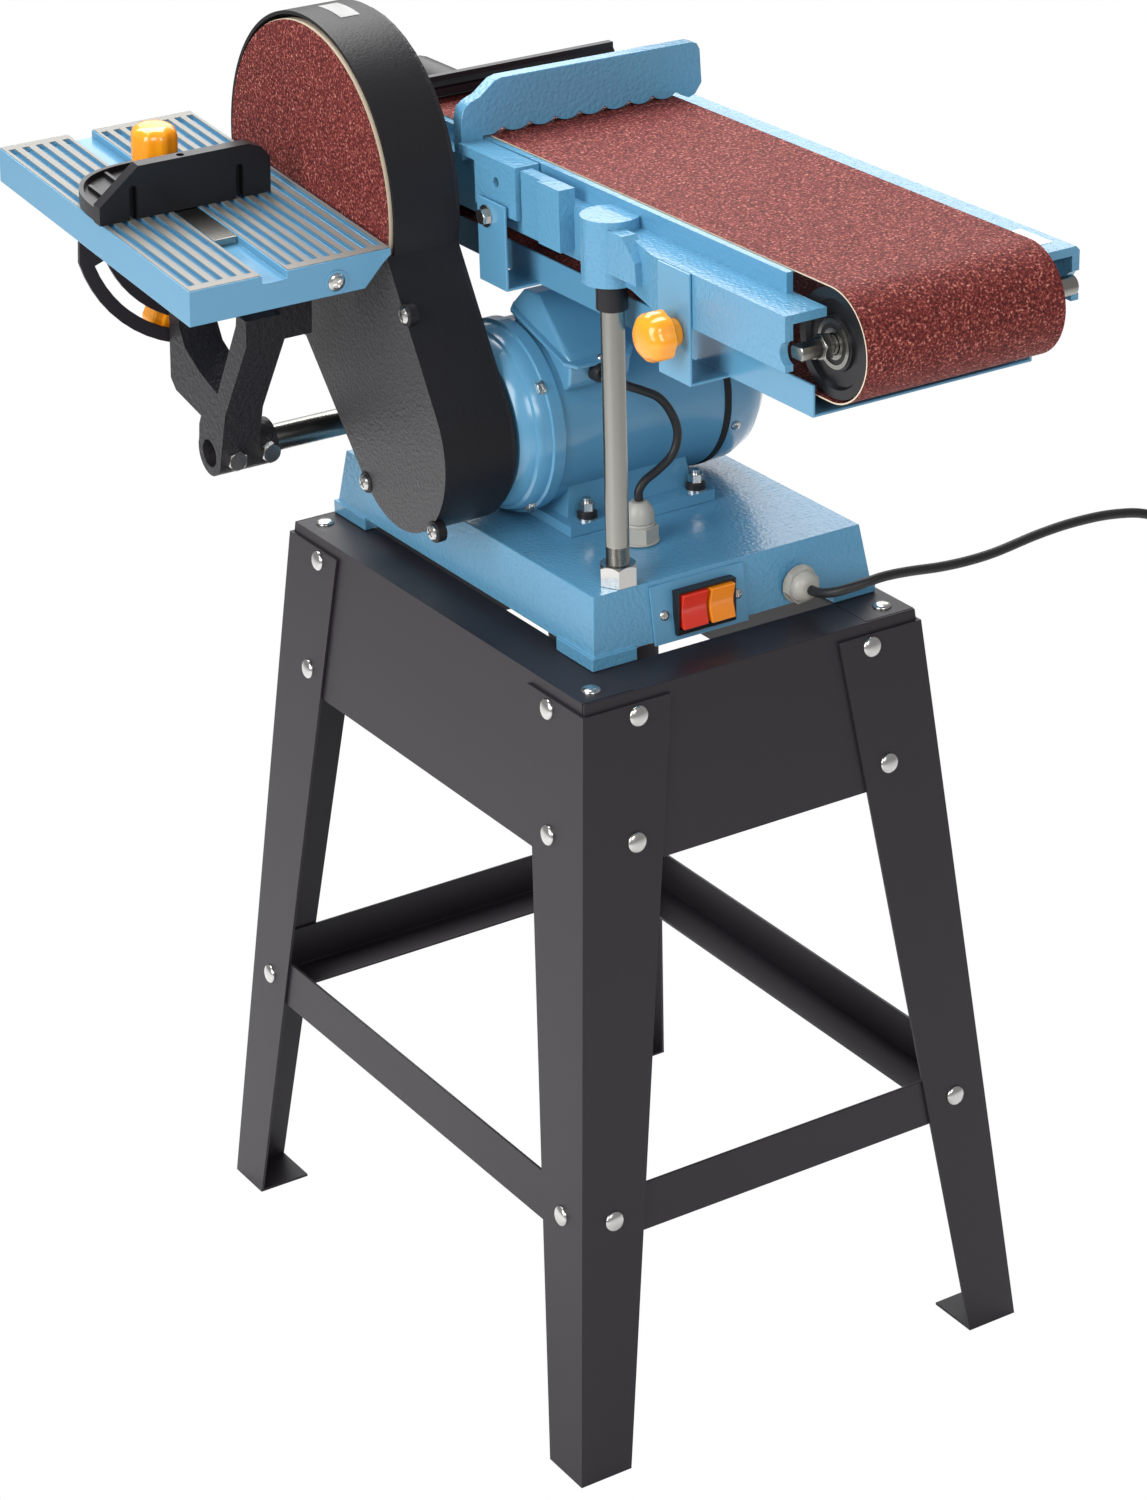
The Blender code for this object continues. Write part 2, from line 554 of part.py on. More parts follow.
def make_rear_cover():
    shaft = (SHAFT_Y, SHAFT_Z)
    x0, x1 = BELT_X[0] + 0.002, BELT_X[1] + 0.0075
    port_x, port_z, port_r = 0.0020, 0.8700, 0.0200
    shell = arc(shaft, 0.0500, -60, 93, 10) + [(SHAFT_Y, SHAFT_Z)]
    cover = piece("rear_cover", prism("X", shell, x0, x1), BLACK_PLASTIC, "arm")
    add(cover, rod("Y", (port_z, port_x), port_r, 0.1500, 0.2300, 20), "arm")
    cut(cover, rod("Y", (port_z, port_x), port_r - 0.0022, 0.1400, 0.2400, 20), "arm")
    cut(cover, rod("X", shaft, 0.0470, x0 - 0.01, x1 + 0.01, 40), "arm", "MANIFOLD")
    y = SHAFT_Y - 0.0030
    lip = [(y, 0.8935), (y, 0.8880), (y + 0.0025, 0.8880), (y + 0.0025, 0.8945), (y + 0.0060, 0.8945),
           (y + 0.0060, 0.9030), (y, 0.9030), (y, 0.8990), (y - 0.0025, 0.8960)]
    add(cover, prism("X", lip, x0 + 0.0003, x1 - 0.0003), "arm", "MANIFOLD")


def make_fence():
    low, high = FENCE_Y
    face = [(0.1060, 0.8865), (0.1230, 0.8900), (0.1230, 0.9160), (0.1190, 0.9225), (-0.0435, 0.9240),
            (-0.0584, 0.9130), (-0.0650, 0.9070), (-0.0735, 0.8992), (-0.0735, FENCE_FOOT_Z), (-0.0575, FENCE_FOOT_Z),
            (-0.0560, 0.8865)]
    outline = [(z, x) for x, z in face]
    fence = piece("stop_fence", prism("Y", outline, low, high), BLUE, "arm")
    add(fence, box((CLAMP_X, CLAMP_Y[0], 0.8775), (-0.0575, low + 0.004, 0.8850)), "arm")
    add(fence, box((CLAMP_X, CLAMP_Y[0], 0.8480), (RAIL_REAR_X - GAP, CLAMP_Y[1], 0.8845)), "arm")


def make_belt():
    shaft, idler = (SHAFT_Y, SHAFT_Z), (IDLER_Y, SHAFT_Z)
    steps = 16
    outer = arc(shaft, BELT_R, -90, 90, steps) + arc(idler, BELT_R, 90, 270, steps)
    inner = arc(shaft, BELT_R - 0.001, -90, 90, steps) + arc(idler, BELT_R - 0.001, 90, 270, steps)
    piece("sanding_belt", band("X", outer, inner, *BELT_X), GRIT, "arm")
    x0, x1 = BELT_X[0] + 0.002, BELT_X[1] - 0.002
    drum = [(x0, DRUM_R - 0.001), (x0 + 0.028, DRUM_R), (x1 - 0.028, DRUM_R), (x1, DRUM_R - 0.001),
            (x1, AXLE_R + 0.0004), (x0, AXLE_R + 0.0004)]
    piece("idler_drum", turned("X", idler, drum, 32, ring=True), BLACK_PLASTIC, "idler")
    ends = (RAIL_FRONT_X + RAIL_SHEET + 0.001, RIGHT_X - RAIL_SHEET - 0.001)
    piece("idler_axle", rod("X", idler, AXLE_R, *ends, 16), STEEL, "carriage")


def make_arm():
    make_left_rail()
    make_right_channel()
    make_platen()
    make_tray()
    make_rear_cover()
    make_fence()
    make_belt()
    start = RIGHT_X + GAP
    knob = [(start, 0), (start, 0.009), (start + 0.006, 0.009), (start + 0.008, 0.0175),
            (start + 0.026, 0.0165), (start + 0.028, 0.014), (start + 0.028, 0)]
    piece("tracking_knob", turned("X", TRACKING, knob, 14), ORANGE, "tracking")
    start = RAIL_FRONT_X - 2 * GAP - 0.002
    knob = [(start, 0), (start, 0.009), (start - 0.006, 0.009), (start - 0.007, 0.0165),
            (start - 0.024, 0.0155), (start - 0.026, 0.013), (start - 0.026, 0)]
    piece("tray_knob", turned("X", (TRAY_KNOB_Y, 0.829), knob[::-1], 14), ORANGE, "tray_screw")


def make_post():
    centre = (POST_X, POST_Y)
    nut = BASE_TOP + GAP
    piece("support_post", rod("Z", centre, POST_R, nut, POST_TOP, 20), STEEL)
    hexagon = piece("post_nut", rod("Z", centre, 0.0138, nut, nut + 0.0145, 6), STEEL, smooth=False)
    cut(hexagon, rod("Z", centre, POST_R + GAP, nut - 0.01, nut + 0.02, 20))
    piece("post_bush", rod("Z", centre, 0.0108, POST_TOP + GAP, BOSS_Z[0] - GAP, 20), BLACK_PLASTIC)


# ---------------------------------------------------------------- disc table, in the leaning table frame
def make_table_support():
    foot = box((-0.0790, ROD_Y - 0.024, BASE_TOP + GAP), (-0.0330, ROD_Y + 0.024, BASE_TOP + 0.009))
    pedestal = piece("rod_pedestal", foot, IRON)
    add(pedestal, box((-0.0730, ROD_Y - 0.015, BASE_TOP + 0.008), (-0.0390, ROD_Y + 0.015, ROD_Z)))
    add(pedestal, rod("X", (ROD_Y, ROD_Z), 0.0180, -0.0730, -0.0390, 24))
    cut(pedestal, rod("X", (ROD_Y, ROD_Z), ROD_R + 0.0004, -0.09, -0.02, 24))
    piece("table_rod", rod("X", (ROD_Y, ROD_Z), ROD_R, -0.2130, -0.0360, 24), STEEL, "rod")


def make_table():
    hub = (0.0, 0.0)
    bracket = piece("table_bracket", rod("X", hub, BRACKET_HUB_R, BRACKET_X, -0.1750, 24), IRON, "bracket")
    rear_arm = [(0.0160, 0.0000), (0.0150, 0.0170), (0.0120, 0.0245), (0.0500, 0.0290), (0.0577, 0.0360),
                (0.0580, 0.1240), (0.0460, 0.1240), (0.0420, 0.0800), (0.0340, 0.0680), (0.0120, 0.0580),
                (-0.0138, 0.0516), (-0.0160, 0.0300), (-0.0100, 0.0050)]
    front_arm = [(-0.0160, -0.0030), (-0.0250, 0.0400), (-0.0580, 0.1050), (-0.0580, 0.1240), (-0.0440, 0.1240),
                 (-0.0430, 0.1150), (-0.0138, 0.0516), (0.0000, 0.0100)]
    for outline in (rear_arm, front_arm):
        add(bracket, prism("X", outline, BRACKET_X, -0.1920), "bracket")
    bar = [(0.1240, -0.1950), (0.1240, BRACKET_X), (0.1050, BRACKET_X)]
    for side in (-1, 1):
        ends = sorted((side * 0.0460, side * 0.0580))
        ear = [(PIVOT_Z + 0.0095 * sin(radians(a)), PIVOT_X + 0.0095 * cos(radians(a))) for a in range(0, 181, 20)]
        ear_outline = [(0.1050, -0.1705)] + ear + bar
        add(bracket, prism("Y", ear_outline, *ends), "bracket")
    cut(bracket, rod("X", hub, ROD_R + 0.0004, -0.24, -0.15, 24), "bracket")

    low, high = TABLE_LENGTH_Y
    x0, x1 = TABLE_X
    under = TABLE_TOP_Z - TABLE_SKIRT
    outline = [(TABLE_TOP_Z, x0), (TABLE_TOP_Z, x1), (TABLE_TOP_Z - 0.005, x1), (TABLE_TOP_Z - 0.010, x1 - 0.006),
               (under, x1 - 0.020), (under, x0)]
    table = piece("disc_table", prism("Y", outline, low, high), BLUE, "table")
    skirt = 0.0055
    plate = TABLE_TOP_Z - TABLE_PLATE
    cut(table, box((x0 + skirt, low + skirt, under - 0.01), (x1 - 0.024, high - skirt, plate)), "table")
    cut(table, box((SLOT_X - SLOT_HALF, low - 0.01, TABLE_TOP_Z - SLOT_DEPTH),
                   (SLOT_X + SLOT_HALF, high + 0.01, TABLE_TOP_Z + 0.01)), "table")

    inner, outer = TRUNNION_Y - 0.0015, TRUNNION_Y + 0.0015
    rim = [(PIVOT_Z + 0.1130 * sin(radians(a)), PIVOT_X + 0.1130 * cos(radians(a)))
           for a in [196 + 6.1 * i for i in range(11)]]
    edge = radians(257)
    sector = rim + [(PIVOT_Z + 0.0910 * sin(edge), PIVOT_X + 0.0910 * cos(edge)),
                    (PIVOT_Z - 0.026, PIVOT_X - 0.034), (PIVOT_Z - 0.020, PIVOT_X + 0.0098),
                    (plate - GAP, PIVOT_X + 0.0098), (plate - GAP, -0.2870)]
    trunnion = piece("trunnion", prism("Y", sector, inner, outer), BLACK_STEEL, "table", smooth=False)
    slot = [(PIVOT_Z + 0.1030 * sin(radians(a)), PIVOT_X + 0.1030 * cos(radians(a)))
            for a in [200 + 5.4 * i for i in range(11)]]
    slot += [(PIVOT_Z + 0.0940 * sin(radians(a)), PIVOT_X + 0.0940 * cos(radians(a)))
             for a in [254 - 5.4 * i for i in range(11)]]
    cut(trunnion, prism("Y", slot, inner - 0.01, outer + 0.01), "table")
    tab = [(PIVOT_Z - 0.0150, PIVOT_X - 0.0400), (PIVOT_Z - 0.0150, PIVOT_X + 0.0098),
           (plate - GAP, PIVOT_X + 0.0098), (plate - GAP, PIVOT_X - 0.0500)]
    piece("pivot_tab", prism("Y", tab, -outer, -inner), BLACK_STEEL, "table", smooth=False)
    knob_angle = radians(250)
    knob = (PIVOT_Z + 0.0985 * sin(knob_angle), PIVOT_X + 0.0985 * cos(knob_angle))
    start = 0.0580 + GAP
    profile = [(start, 0), (start, 0.0035), (0.0640, 0.0035), (0.0640, 0.009), (0.0680, 0.009),
               (0.0690, 0.0165), (0.0880, 0.0155), (0.0900, 0.0130), (0.0900, 0)]
    piece("lock_knob", turned("Y", knob, profile, 14), ORANGE, "lock_screw")


def make_mitre_gauge():
    top = TABLE_TOP_Z
    bar_half = SLOT_HALF - 0.0004
    bar = box((SLOT_X - bar_half, -0.0550, top - SLOT_DEPTH + GAP), (SLOT_X + bar_half, 0.0950, top - GAP))
    piece("miter_bar", bar, STEEL, "miter_slide")
    low = top + GAP
    high = low + 0.0380
    face = [(low, -0.3000), (low, -0.1690), (high - 0.0120, -0.1690), (high, -0.1860), (high, -0.2700),
            (low + 0.0130, -0.3000)]
    head = piece("miter_head", prism("Y", face, 0.0020, 0.0110), BLACK_PLASTIC, "miter_head_turn")
    half_moon = []
    for step in range(17):
        turn = pi * step / 16
        across, back = cos(turn), sin(turn)
        half_moon.append((SLOT_X + 0.0645 * abs(across) ** 0.75 * (1 if across > 0 else -1),
                          0.0100 + 0.0660 * back ** 0.75))
    add(head, prism("Z", half_moon, low + 0.0001, low + 0.0100), "miter_head_turn")
    start = low + 0.0100 + GAP
    profile = [(start, 0), (start, 0.0095), (start + 0.007, 0.0095), (start + 0.008, 0.0165), (start + 0.032, 0.0160),
               (start + 0.035, 0.0140), (start + 0.035, 0)]
    piece("miter_knob", turned("Z", (SLOT_X, MITER_KNOB_Y), profile, 14), ORANGE, "miter_knob_turn")


# ---------------------------------------------------------------- cords
def smooth_path(route, spacing):
    """Even points along a smooth curve (centripetal Catmull-Rom) through the route's own points."""
    points = [Vector(p) for p in route]
    points = [2 * points[0] - points[1]] + points + [2 * points[-1] - points[-2]]
    fine = []
    for a, b, c, d in zip(points, points[1:], points[2:], points[3:]):
        t1 = (b - a).length ** 0.5
        t2 = t1 + (c - b).length ** 0.5
        t3 = t2 + (d - c).length ** 0.5
        for i in range(24):
            t = t1 + (t2 - t1) * i / 24
            ab = a * (t1 - t) / t1 + b * t / t1
            bc = b * (t2 - t) / (t2 - t1) + c * (t - t1) / (t2 - t1)
            cd = c * (t3 - t) / (t3 - t2) + d * (t - t2) / (t3 - t2)
            abc = ab * (t2 - t) / t2 + bc * t / t2
            bcd = bc * (t3 - t) / (t3 - t1) + cd * (t - t1) / (t3 - t1)
            fine.append(abc * (t2 - t) / (t2 - t1) + bcd * (t - t1) / (t2 - t1))
    fine.append(points[-2])
    total = sum((q - p).length for p, q in zip(fine, fine[1:]))
    count = max(2, round(total / spacing))
    even, walked, target = [fine[0]], 0.0, total / count
    for p, q in zip(fine, fine[1:]):
        step = (q - p).length
        while walked + step >= target - 1e-9 and len(even) < count:
            even.append(p.lerp(q, (target - walked) / step))
            target += total / count
        walked += step
    even.append(fine[-1])
    return even


def cord_object(name, points, diameter, look):
    curve = bpy.data.curves.new(name, "CURVE")
    curve.dimensions = "3D"
    curve.bevel_depth = diameter / 2
    curve.bevel_resolution = 2
    curve.use_fill_caps = True
    spline = curve.splines.new("POLY")
    spline.points.add(len(points) - 1)
    for target, point in zip(spline.points, points):
        target.co = (*point, 1)
    made = bpy.data.objects.new(name, curve)
    bpy.context.scene.collection.objects.link(made)
    made.parent = groups["fixed"]
    curve.materials.append(material(look))


def make_mains_cord():
    floor = CORD_D / 2
    cx, cy = COIL_MIDDLE
    landing = cy - COIL_R - COIL_HALF - floor - 0.0004
    bend = 0.034
    fall_x = 0.3950
    route = [CORD_EXIT, (0.0670, -0.1735, 0.5920), (0.0680, -0.1815, 0.5932), (0.0722, -0.1905, 0.5960),
             (0.0800, -0.1975, 0.5995), (0.0905, -0.2018, 0.6025), (0.1040, -0.2030, 0.6038),
             (0.1270, -0.2000, 0.6008), (0.1560, -0.2000, 0.5972), (0.1800, -0.2000, 0.5958),
             (0.2030, -0.2000, 0.5963), (0.2420, -0.2000, 0.6007), (0.2730, -0.2000, 0.6020),
             (0.3100, -0.2000, 0.5995), (0.3410, -0.2010, 0.5922), (0.3650, -0.2070, 0.5780),
             (0.3830, -0.2170, 0.5530), (0.3920, -0.2300, 0.5150), (fall_x, -0.2440, 0.4600),
             (fall_x, -0.2600, 0.3700), (fall_x, -0.2710, 0.2700), (fall_x, landing, 0.1700),
             (fall_x, landing, 0.0900), (fall_x, landing, floor + bend)]
    for step in range(1, 7):
        turn = radians(15 * step)
        route.append((fall_x + bend * (1 - cos(turn)), landing, floor + bend * (1 - sin(turn))))
    cord_object("mains_cord", smooth_path(route, 0.018), CORD_D, RUBBER)
    ring = [(0.0, COIL_R - COIL_HALF), (0.0, COIL_R + COIL_HALF), (COIL_TOP, COIL_R + COIL_HALF),
            (COIL_TOP, COIL_R - COIL_HALF)]
    piece("mains_coil", turned("Z", (cx, cy), ring, 24, ring=True), RUBBER)
    x = PLUG_X
    plug = piece("plug", box((x - 0.0140, -0.1840, 0.0), (x + 0.0140, -0.1480, 0.0240)), RUBBER)
    add(plug, box((x - 0.0080, -0.2050, 0.0050), (x + 0.0080, -0.1835, 0.0190)))
    for side in (-1, 1):
        middle = x + side * 0.0065
        add(plug, box((middle - 0.0010, -0.1485, 0.0080), (middle + 0.0010, -0.1290, 0.0160)))


# ---------------------------------------------------------------- the whole machine
def main():
    clear_scene()
    machine = group("machine", (ORIGIN_X, ORIGIN_Y, 0))
    shaft = (0, SHAFT_Y, SHAFT_Z)
    idler = (0, IDLER_Y, SHAFT_Z)
    switch_z = 0.5985
    group("fixed", inside=machine)
    group("rocker", (-0.0233, base_front(switch_z) - 0.003, switch_z), machine)
    group("key", (-0.0013, base_front(switch_z) - 0.003, switch_z), machine)
    group("rotor", (0, MOTOR_Y, MOTOR_Z), machine)
    group("spindle", shaft, machine)
    group("arm", shaft, machine)
    group("carriage", idler, machine)
    group("idler", idler, machine)
    group("tracking", (RIGHT_X, *TRACKING), machine)
    group("tray_screw", (RAIL_FRONT_X, TRAY_KNOB_Y, 0.829), machine)
    group("rod", (0, ROD_Y, ROD_Z), machine)
    leaning = group("table_frame", (0, ROD_Y, ROD_Z), machine, TABLE_LEAN)
    group("bracket", (0, 0, 0), leaning)
    group("table", (PIVOT_X, 0, PIVOT_Z), leaning)
    knob_angle = radians(250)
    group("lock_screw", (PIVOT_X + 0.0985 * cos(knob_angle), 0.06, PIVOT_Z + 0.0985 * sin(knob_angle)), leaning)
    group("miter_slide", (SLOT_X, 0, TABLE_TOP_Z), leaning)
    group("miter_head_turn", (SLOT_X, MITER_KNOB_Y, TABLE_TOP_Z), leaning)
    group("miter_knob_turn", (SLOT_X, MITER_KNOB_Y, TABLE_TOP_Z), leaning)
    make_stand()
    make_base()
    make_motor()
    make_drive()
    make_arm()
    make_post()
    make_table_support()
    make_table()
    make_mitre_gauge()
    make_mains_cord()


main()
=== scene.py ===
"""The looks of a belt and disc sander on a sheet metal stand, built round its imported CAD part."""

from math import acos, atan2, cos, hypot, pi, radians, sin, sqrt

import bmesh
import bpy
from mathutils import Matrix, Vector
from mathutils.bvhtree import BVHTree


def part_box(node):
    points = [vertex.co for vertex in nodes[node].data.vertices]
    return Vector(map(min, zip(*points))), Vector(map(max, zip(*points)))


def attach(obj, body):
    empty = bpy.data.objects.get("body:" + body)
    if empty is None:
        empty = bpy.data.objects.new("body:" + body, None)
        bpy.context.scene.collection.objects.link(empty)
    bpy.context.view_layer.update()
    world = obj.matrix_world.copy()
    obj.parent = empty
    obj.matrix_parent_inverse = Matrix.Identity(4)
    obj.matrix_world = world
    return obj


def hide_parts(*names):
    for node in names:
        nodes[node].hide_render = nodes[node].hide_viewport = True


MACHINE = Vector((0.0535, 0.0415, 0.0))        # the stand's middle in the row frame

STAND_FOOT = (0.1930, 0.2580)                  # half sizes of the stand
STAND_TOP = (0.1345, 0.1955)
STAND_HEIGHT = 0.570

MOTOR = (0.016, 0.692)                         # Y, Z of the motor's axis
SHAFT = (0.137, 0.847)                         # Y, Z of the disc's and rear drum's axis
IDLER = (-0.352, 0.847)
DISC_FACE_X = -0.1415
DISC_R = 0.111
COVER_X = (-0.1395, -0.0915)
COVER_R = (0.1165, 0.0842, 0.0655)             # round the disc, at the taper's upper end, round the motor
COVER_MOTOR = (0.0225, 0.6900)
GUARD_X, GUARD_TOP = -0.1450, 0.8213           # the cover's lower face, which stands in front of the disc
BELT_X = (-0.0490, 0.1034)
BELT_R = 0.0375
BASE_TOP = 0.620
POST = (-0.0685, -0.137)
ROD = (0.157, 0.656)
TABLE_LEAN = radians(5.6)
TABLE_TOP_Z = 0.1873
TABLE_X = (-0.2980, -0.1455)
TABLE_LENGTH_Y = (-0.1232, 0.1660)
SLOT_X, SLOT_HALF, SLOT_DEPTH = -0.2345, 0.0092, 0.006
MITER_KNOB_Y = 0.0480
TRAY_KNOB = (-0.2340, 0.829)                   # Y, Z of the tray knob
TRACKING = (-0.1440, 0.8405)                   # Y, Z of the tracking knob
PIVOT_X, PIVOT_Z = -0.1800, 0.1670

CORD_D = 0.007
CORD_EXIT = (0.0670, -0.1710, 0.5920)
COIL_MIDDLE = (0.4300, -0.2450)
COIL_R = 0.044

LEG_BOLTS = ((0.553, 0.040), (0.465, 0.040), (0.195, 0.025))   # height, distance from the leg's corner
LOCK_R, LOCK_ANGLE = 0.0985, radians(250)      # the lock knob round the table's pivot
GLAND_FLATS = 0.0235
CAMERA_PLACE = (-1.3068, -2.1144, 1.6456)
CAMERA_TURN = (radians(-31.8169), radians(25.6318), radians(-1.5976))
LENS = 92.76

AXES = {"X": (1, 2, 0), "Y": (2, 0, 1), "Z": (0, 1, 2)}
AT_STAND = Matrix.Translation(MACHINE)
AT_TABLE = AT_STAND @ Matrix.Translation((0.0, ROD[0], ROD[1])) @ Matrix.Rotation(TABLE_LEAN, 4, "X")
AS_IS = Matrix.Identity(4)
UP = Vector((0, 0, 1))

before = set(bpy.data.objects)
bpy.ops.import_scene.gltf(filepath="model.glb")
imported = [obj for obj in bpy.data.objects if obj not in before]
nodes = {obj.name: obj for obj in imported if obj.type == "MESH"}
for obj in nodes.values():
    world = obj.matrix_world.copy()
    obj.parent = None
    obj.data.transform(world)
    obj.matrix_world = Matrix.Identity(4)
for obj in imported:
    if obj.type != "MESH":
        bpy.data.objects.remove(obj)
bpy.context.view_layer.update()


# ---------------------------------------------------------------- materials
def node_material(name, colour, rough, metal=0.0, coat=0.0):
    made = bpy.data.materials.new(name)
    made.use_nodes = True
    shader = made.node_tree.nodes["Principled BSDF"]
    shader.inputs["Base Color"].default_value = (*colour, 1)
    shader.inputs["Roughness"].default_value = rough
    shader.inputs["Metallic"].default_value = metal
    shader.inputs["Coat Weight"].default_value = coat
    shader.inputs["Coat Roughness"].default_value = 0.15
    made.diffuse_color = (*colour, 1)
    return made


def noise(made, scale, detail=2.0, roughness=0.5):
    tree = made.node_tree
    place = tree.nodes.new("ShaderNodeTexCoord")
    found = tree.nodes.new("ShaderNodeTexNoise")
    found.inputs["Scale"].default_value = scale
    found.inputs["Detail"].default_value = detail
    found.inputs["Roughness"].default_value = roughness
    tree.links.new(place.outputs["Object"], found.inputs["Vector"])
    return found.outputs["Fac"]


def ramp(made, value, stops):
    """Colours along a value."""
    found = made.node_tree.nodes.new("ShaderNodeValToRGB")
    band = found.color_ramp
    while len(band.elements) < len(stops):
        band.elements.new(0.5)
    for element, (position, colour) in zip(band.elements, stops):
        element.position = position
        element.color = (*colour, 1)
    made.node_tree.links.new(value, found.inputs["Fac"])
    return found.outputs["Color"]


def into(made, value, socket):
    shader = made.node_tree.nodes["Principled BSDF"]
    made.node_tree.links.new(value, shader.inputs[socket])


def bump(made, height, distance, strength=1.0):
    found = made.node_tree.nodes.new("ShaderNodeBump")
    found.inputs["Distance"].default_value = distance
    found.inputs["Strength"].default_value = strength
    made.node_tree.links.new(height, found.inputs["Height"])
    into(made, found.outputs["Normal"], "Normal")


def speckled(name, stops, rough, scale, height, detail=4.0):
    made = node_material(name, stops[len(stops) // 2][1], rough)
    grain = noise(made, scale, detail, 0.7)
    into(made, ramp(made, grain, stops), "Base Color")
    bump(made, grain, height)
    return made


BLUE = (0.106, 0.305, 0.480)
hammer_blue = node_material("blue_hammered", BLUE, 0.24, 0.0, 0.35)
bump(hammer_blue, noise(hammer_blue, 340, 1.0), 0.0010, 0.65)
smooth_blue = node_material("blue_smooth", BLUE, 0.22, 0.0, 0.4)
bump(smooth_blue, noise(smooth_blue, 60, 2.0), 0.0004, 0.25)


def black(name, colour, rough, scale=0.0, height=0.0, strength=0.5, shine=0.35):
    made = node_material(name, colour, rough)
    made.node_tree.nodes["Principled BSDF"].inputs["Specular IOR Level"].default_value = shine
    if scale:
        bump(made, noise(made, scale, 2.0, 0.6), height, strength)
    return made


# the cover's lower face: a lighter black than its sides, partly its coarser pebbling and partly painted sheen
pebbled_black_with_painted_sheen = black("cover_pebbled_with_painted_sheen", (0.030, 0.028, 0.031), 0.40, 420, 0.0011, 0.7, 0.5)
smooth_black = black("cover_smooth", (0.013, 0.012, 0.014), 0.42, 420, 0.0006, 0.35, 0.22)
satin_steel = black("stand_satin", (0.021, 0.0175, 0.022), 0.42, 900, 0.0002, 0.2, 0.32)
rough_iron = black("iron_black", (0.018, 0.016, 0.019), 0.45, 260, 0.0014, 0.6)
plastic_black = black("plastic_black", (0.012, 0.012, 0.014), 0.32)
drum_black = black("drum_black", (0.018, 0.018, 0.020), 0.5)
rubber = black("rubber", (0.014, 0.014, 0.015), 0.45)
chrome = node_material("bright_zinc", (0.58, 0.57, 0.55), 0.22, 1.0)
steel = node_material("bright_steel", (0.33, 0.325, 0.30), 0.26, 1.0)
bump(steel, noise(steel, 700, 2.0), 0.0001, 0.2)
bare = node_material("bare_metal", (0.42, 0.41, 0.39), 0.42, 0.85)
land_metal = node_material("table_lands", (0.215, 0.208, 0.190), 0.45, 0.25)
bump(land_metal, noise(land_metal, 900, 3.0), 0.0002, 0.3)
orange = node_material("orange_plastic", (0.94, 0.34, 0.010), 0.22, 0.0, 0.5)
orange.node_tree.nodes["Principled BSDF"].inputs["Subsurface Weight"].default_value = 0.08
red = node_material("red_plastic", (0.72, 0.030, 0.012), 0.22, 0.0, 0.4)
amber = node_material("amber_plastic", (0.92, 0.260, 0.010), 0.22, 0.0, 0.4)
grey = node_material("grey_plastic", (0.40, 0.385, 0.345), 0.38)
cream = node_material("belt_backing", (0.66, 0.56, 0.42), 0.8)
white_label = node_material("white_label", (0.80, 0.80, 0.79), 0.5)
# near black: painted shade for the seam ring between the motor body and the fan cover, and the colour of the
# fence screw
dark_gap = node_material("dark_gap", (0.006, 0.006, 0.006), 0.8)
GRIT = [(0.36, (0.050, 0.005, 0.005)), (0.46, (0.118, 0.013, 0.011)), (0.53, (0.190, 0.024, 0.020)),
        (0.60, (0.320, 0.064, 0.050)), (0.70, (0.660, 0.320, 0.260))]
grit = speckled("abrasive", GRIT, 0.70, 560, 0.0013, 2.5)
grit.node_tree.nodes["Principled BSDF"].inputs["Specular IOR Level"].default_value = 0.3


# ---------------------------------------------------------------- shapes
def placed(axis, u, v, w):
    iu, iv, iw = AXES[axis]
    point = [0.0, 0.0, 0.0]
    point[iu], point[iv], point[iw] = u, v, w
    return Vector(point)


def loft(rings, closed=False):
    bm = bmesh.new()
    made = [[bm.verts.new(p) for p in ring] for ring in rings]
    pairs = list(zip(made, made[1:]))
    if closed:
        pairs.append((made[-1], made[0]))
    for a, b in pairs:
        for i in range(len(a)):
            j = (i + 1) % len(a)
            bm.faces.new((a[i], a[j], b[j], b[i]))
    if not closed:
        bm.faces.new(made[0][::-1])
        bm.faces.new(made[-1])
    bmesh.ops.recalc_face_normals(bm, faces=bm.faces)
    return bm


def prism(axis, outline, start, end):
    return loft([[placed(axis, u, v, w) for u, v in outline] for w in (start, end)])


def box(low, high):
    outline = [(low[0], low[1]), (high[0], low[1]), (high[0], high[1]), (low[0], high[1])]
    return prism("Z", outline, low[2], high[2])


def turned(axis, centre, profile, segments=64, turn=0.0):
    """A profile of (place along the axis, radius) turned about the axis; a radius of 0 closes that end."""
    bm = bmesh.new()
    cu, cv = centre
    rings = []
    for w, r in profile:
        if r <= 0:
            rings.append([bm.verts.new(placed(axis, cu, cv, w))])
            continue
        ring = []
        for i in range(segments):
            a = turn + 2 * pi * i / segments
            ring.append(bm.verts.new(placed(axis, cu + r * cos(a), cv + r * sin(a), w)))
        rings.append(ring)
    closed = len(rings[0]) > 1
    pairs = list(zip(rings, rings[1:])) + ([(rings[-1], rings[0])] if closed else [])
    for a, b in pairs:
        for i in range(segments):
            j = (i + 1) % segments
            if len(a) == 1:
                bm.faces.new((a[0], b[j], b[i]))
            elif len(b) == 1:
                bm.faces.new((a[i], a[j], b[0]))
            else:
                bm.faces.new((a[i], a[j], b[j], b[i]))
    bmesh.ops.recalc_face_normals(bm, faces=bm.faces)
    return bm


def rod(axis, centre, r, start, end, segments=48, turn=0.0):
    return turned(axis, centre, [(start, 0), (start, r), (end, r), (end, 0)], segments, turn)


def tube(axis, centre, r, inner, start, end, segments=64):
    return turned(axis, centre, [(start, r), (end, r), (end, inner), (start, inner)], segments)


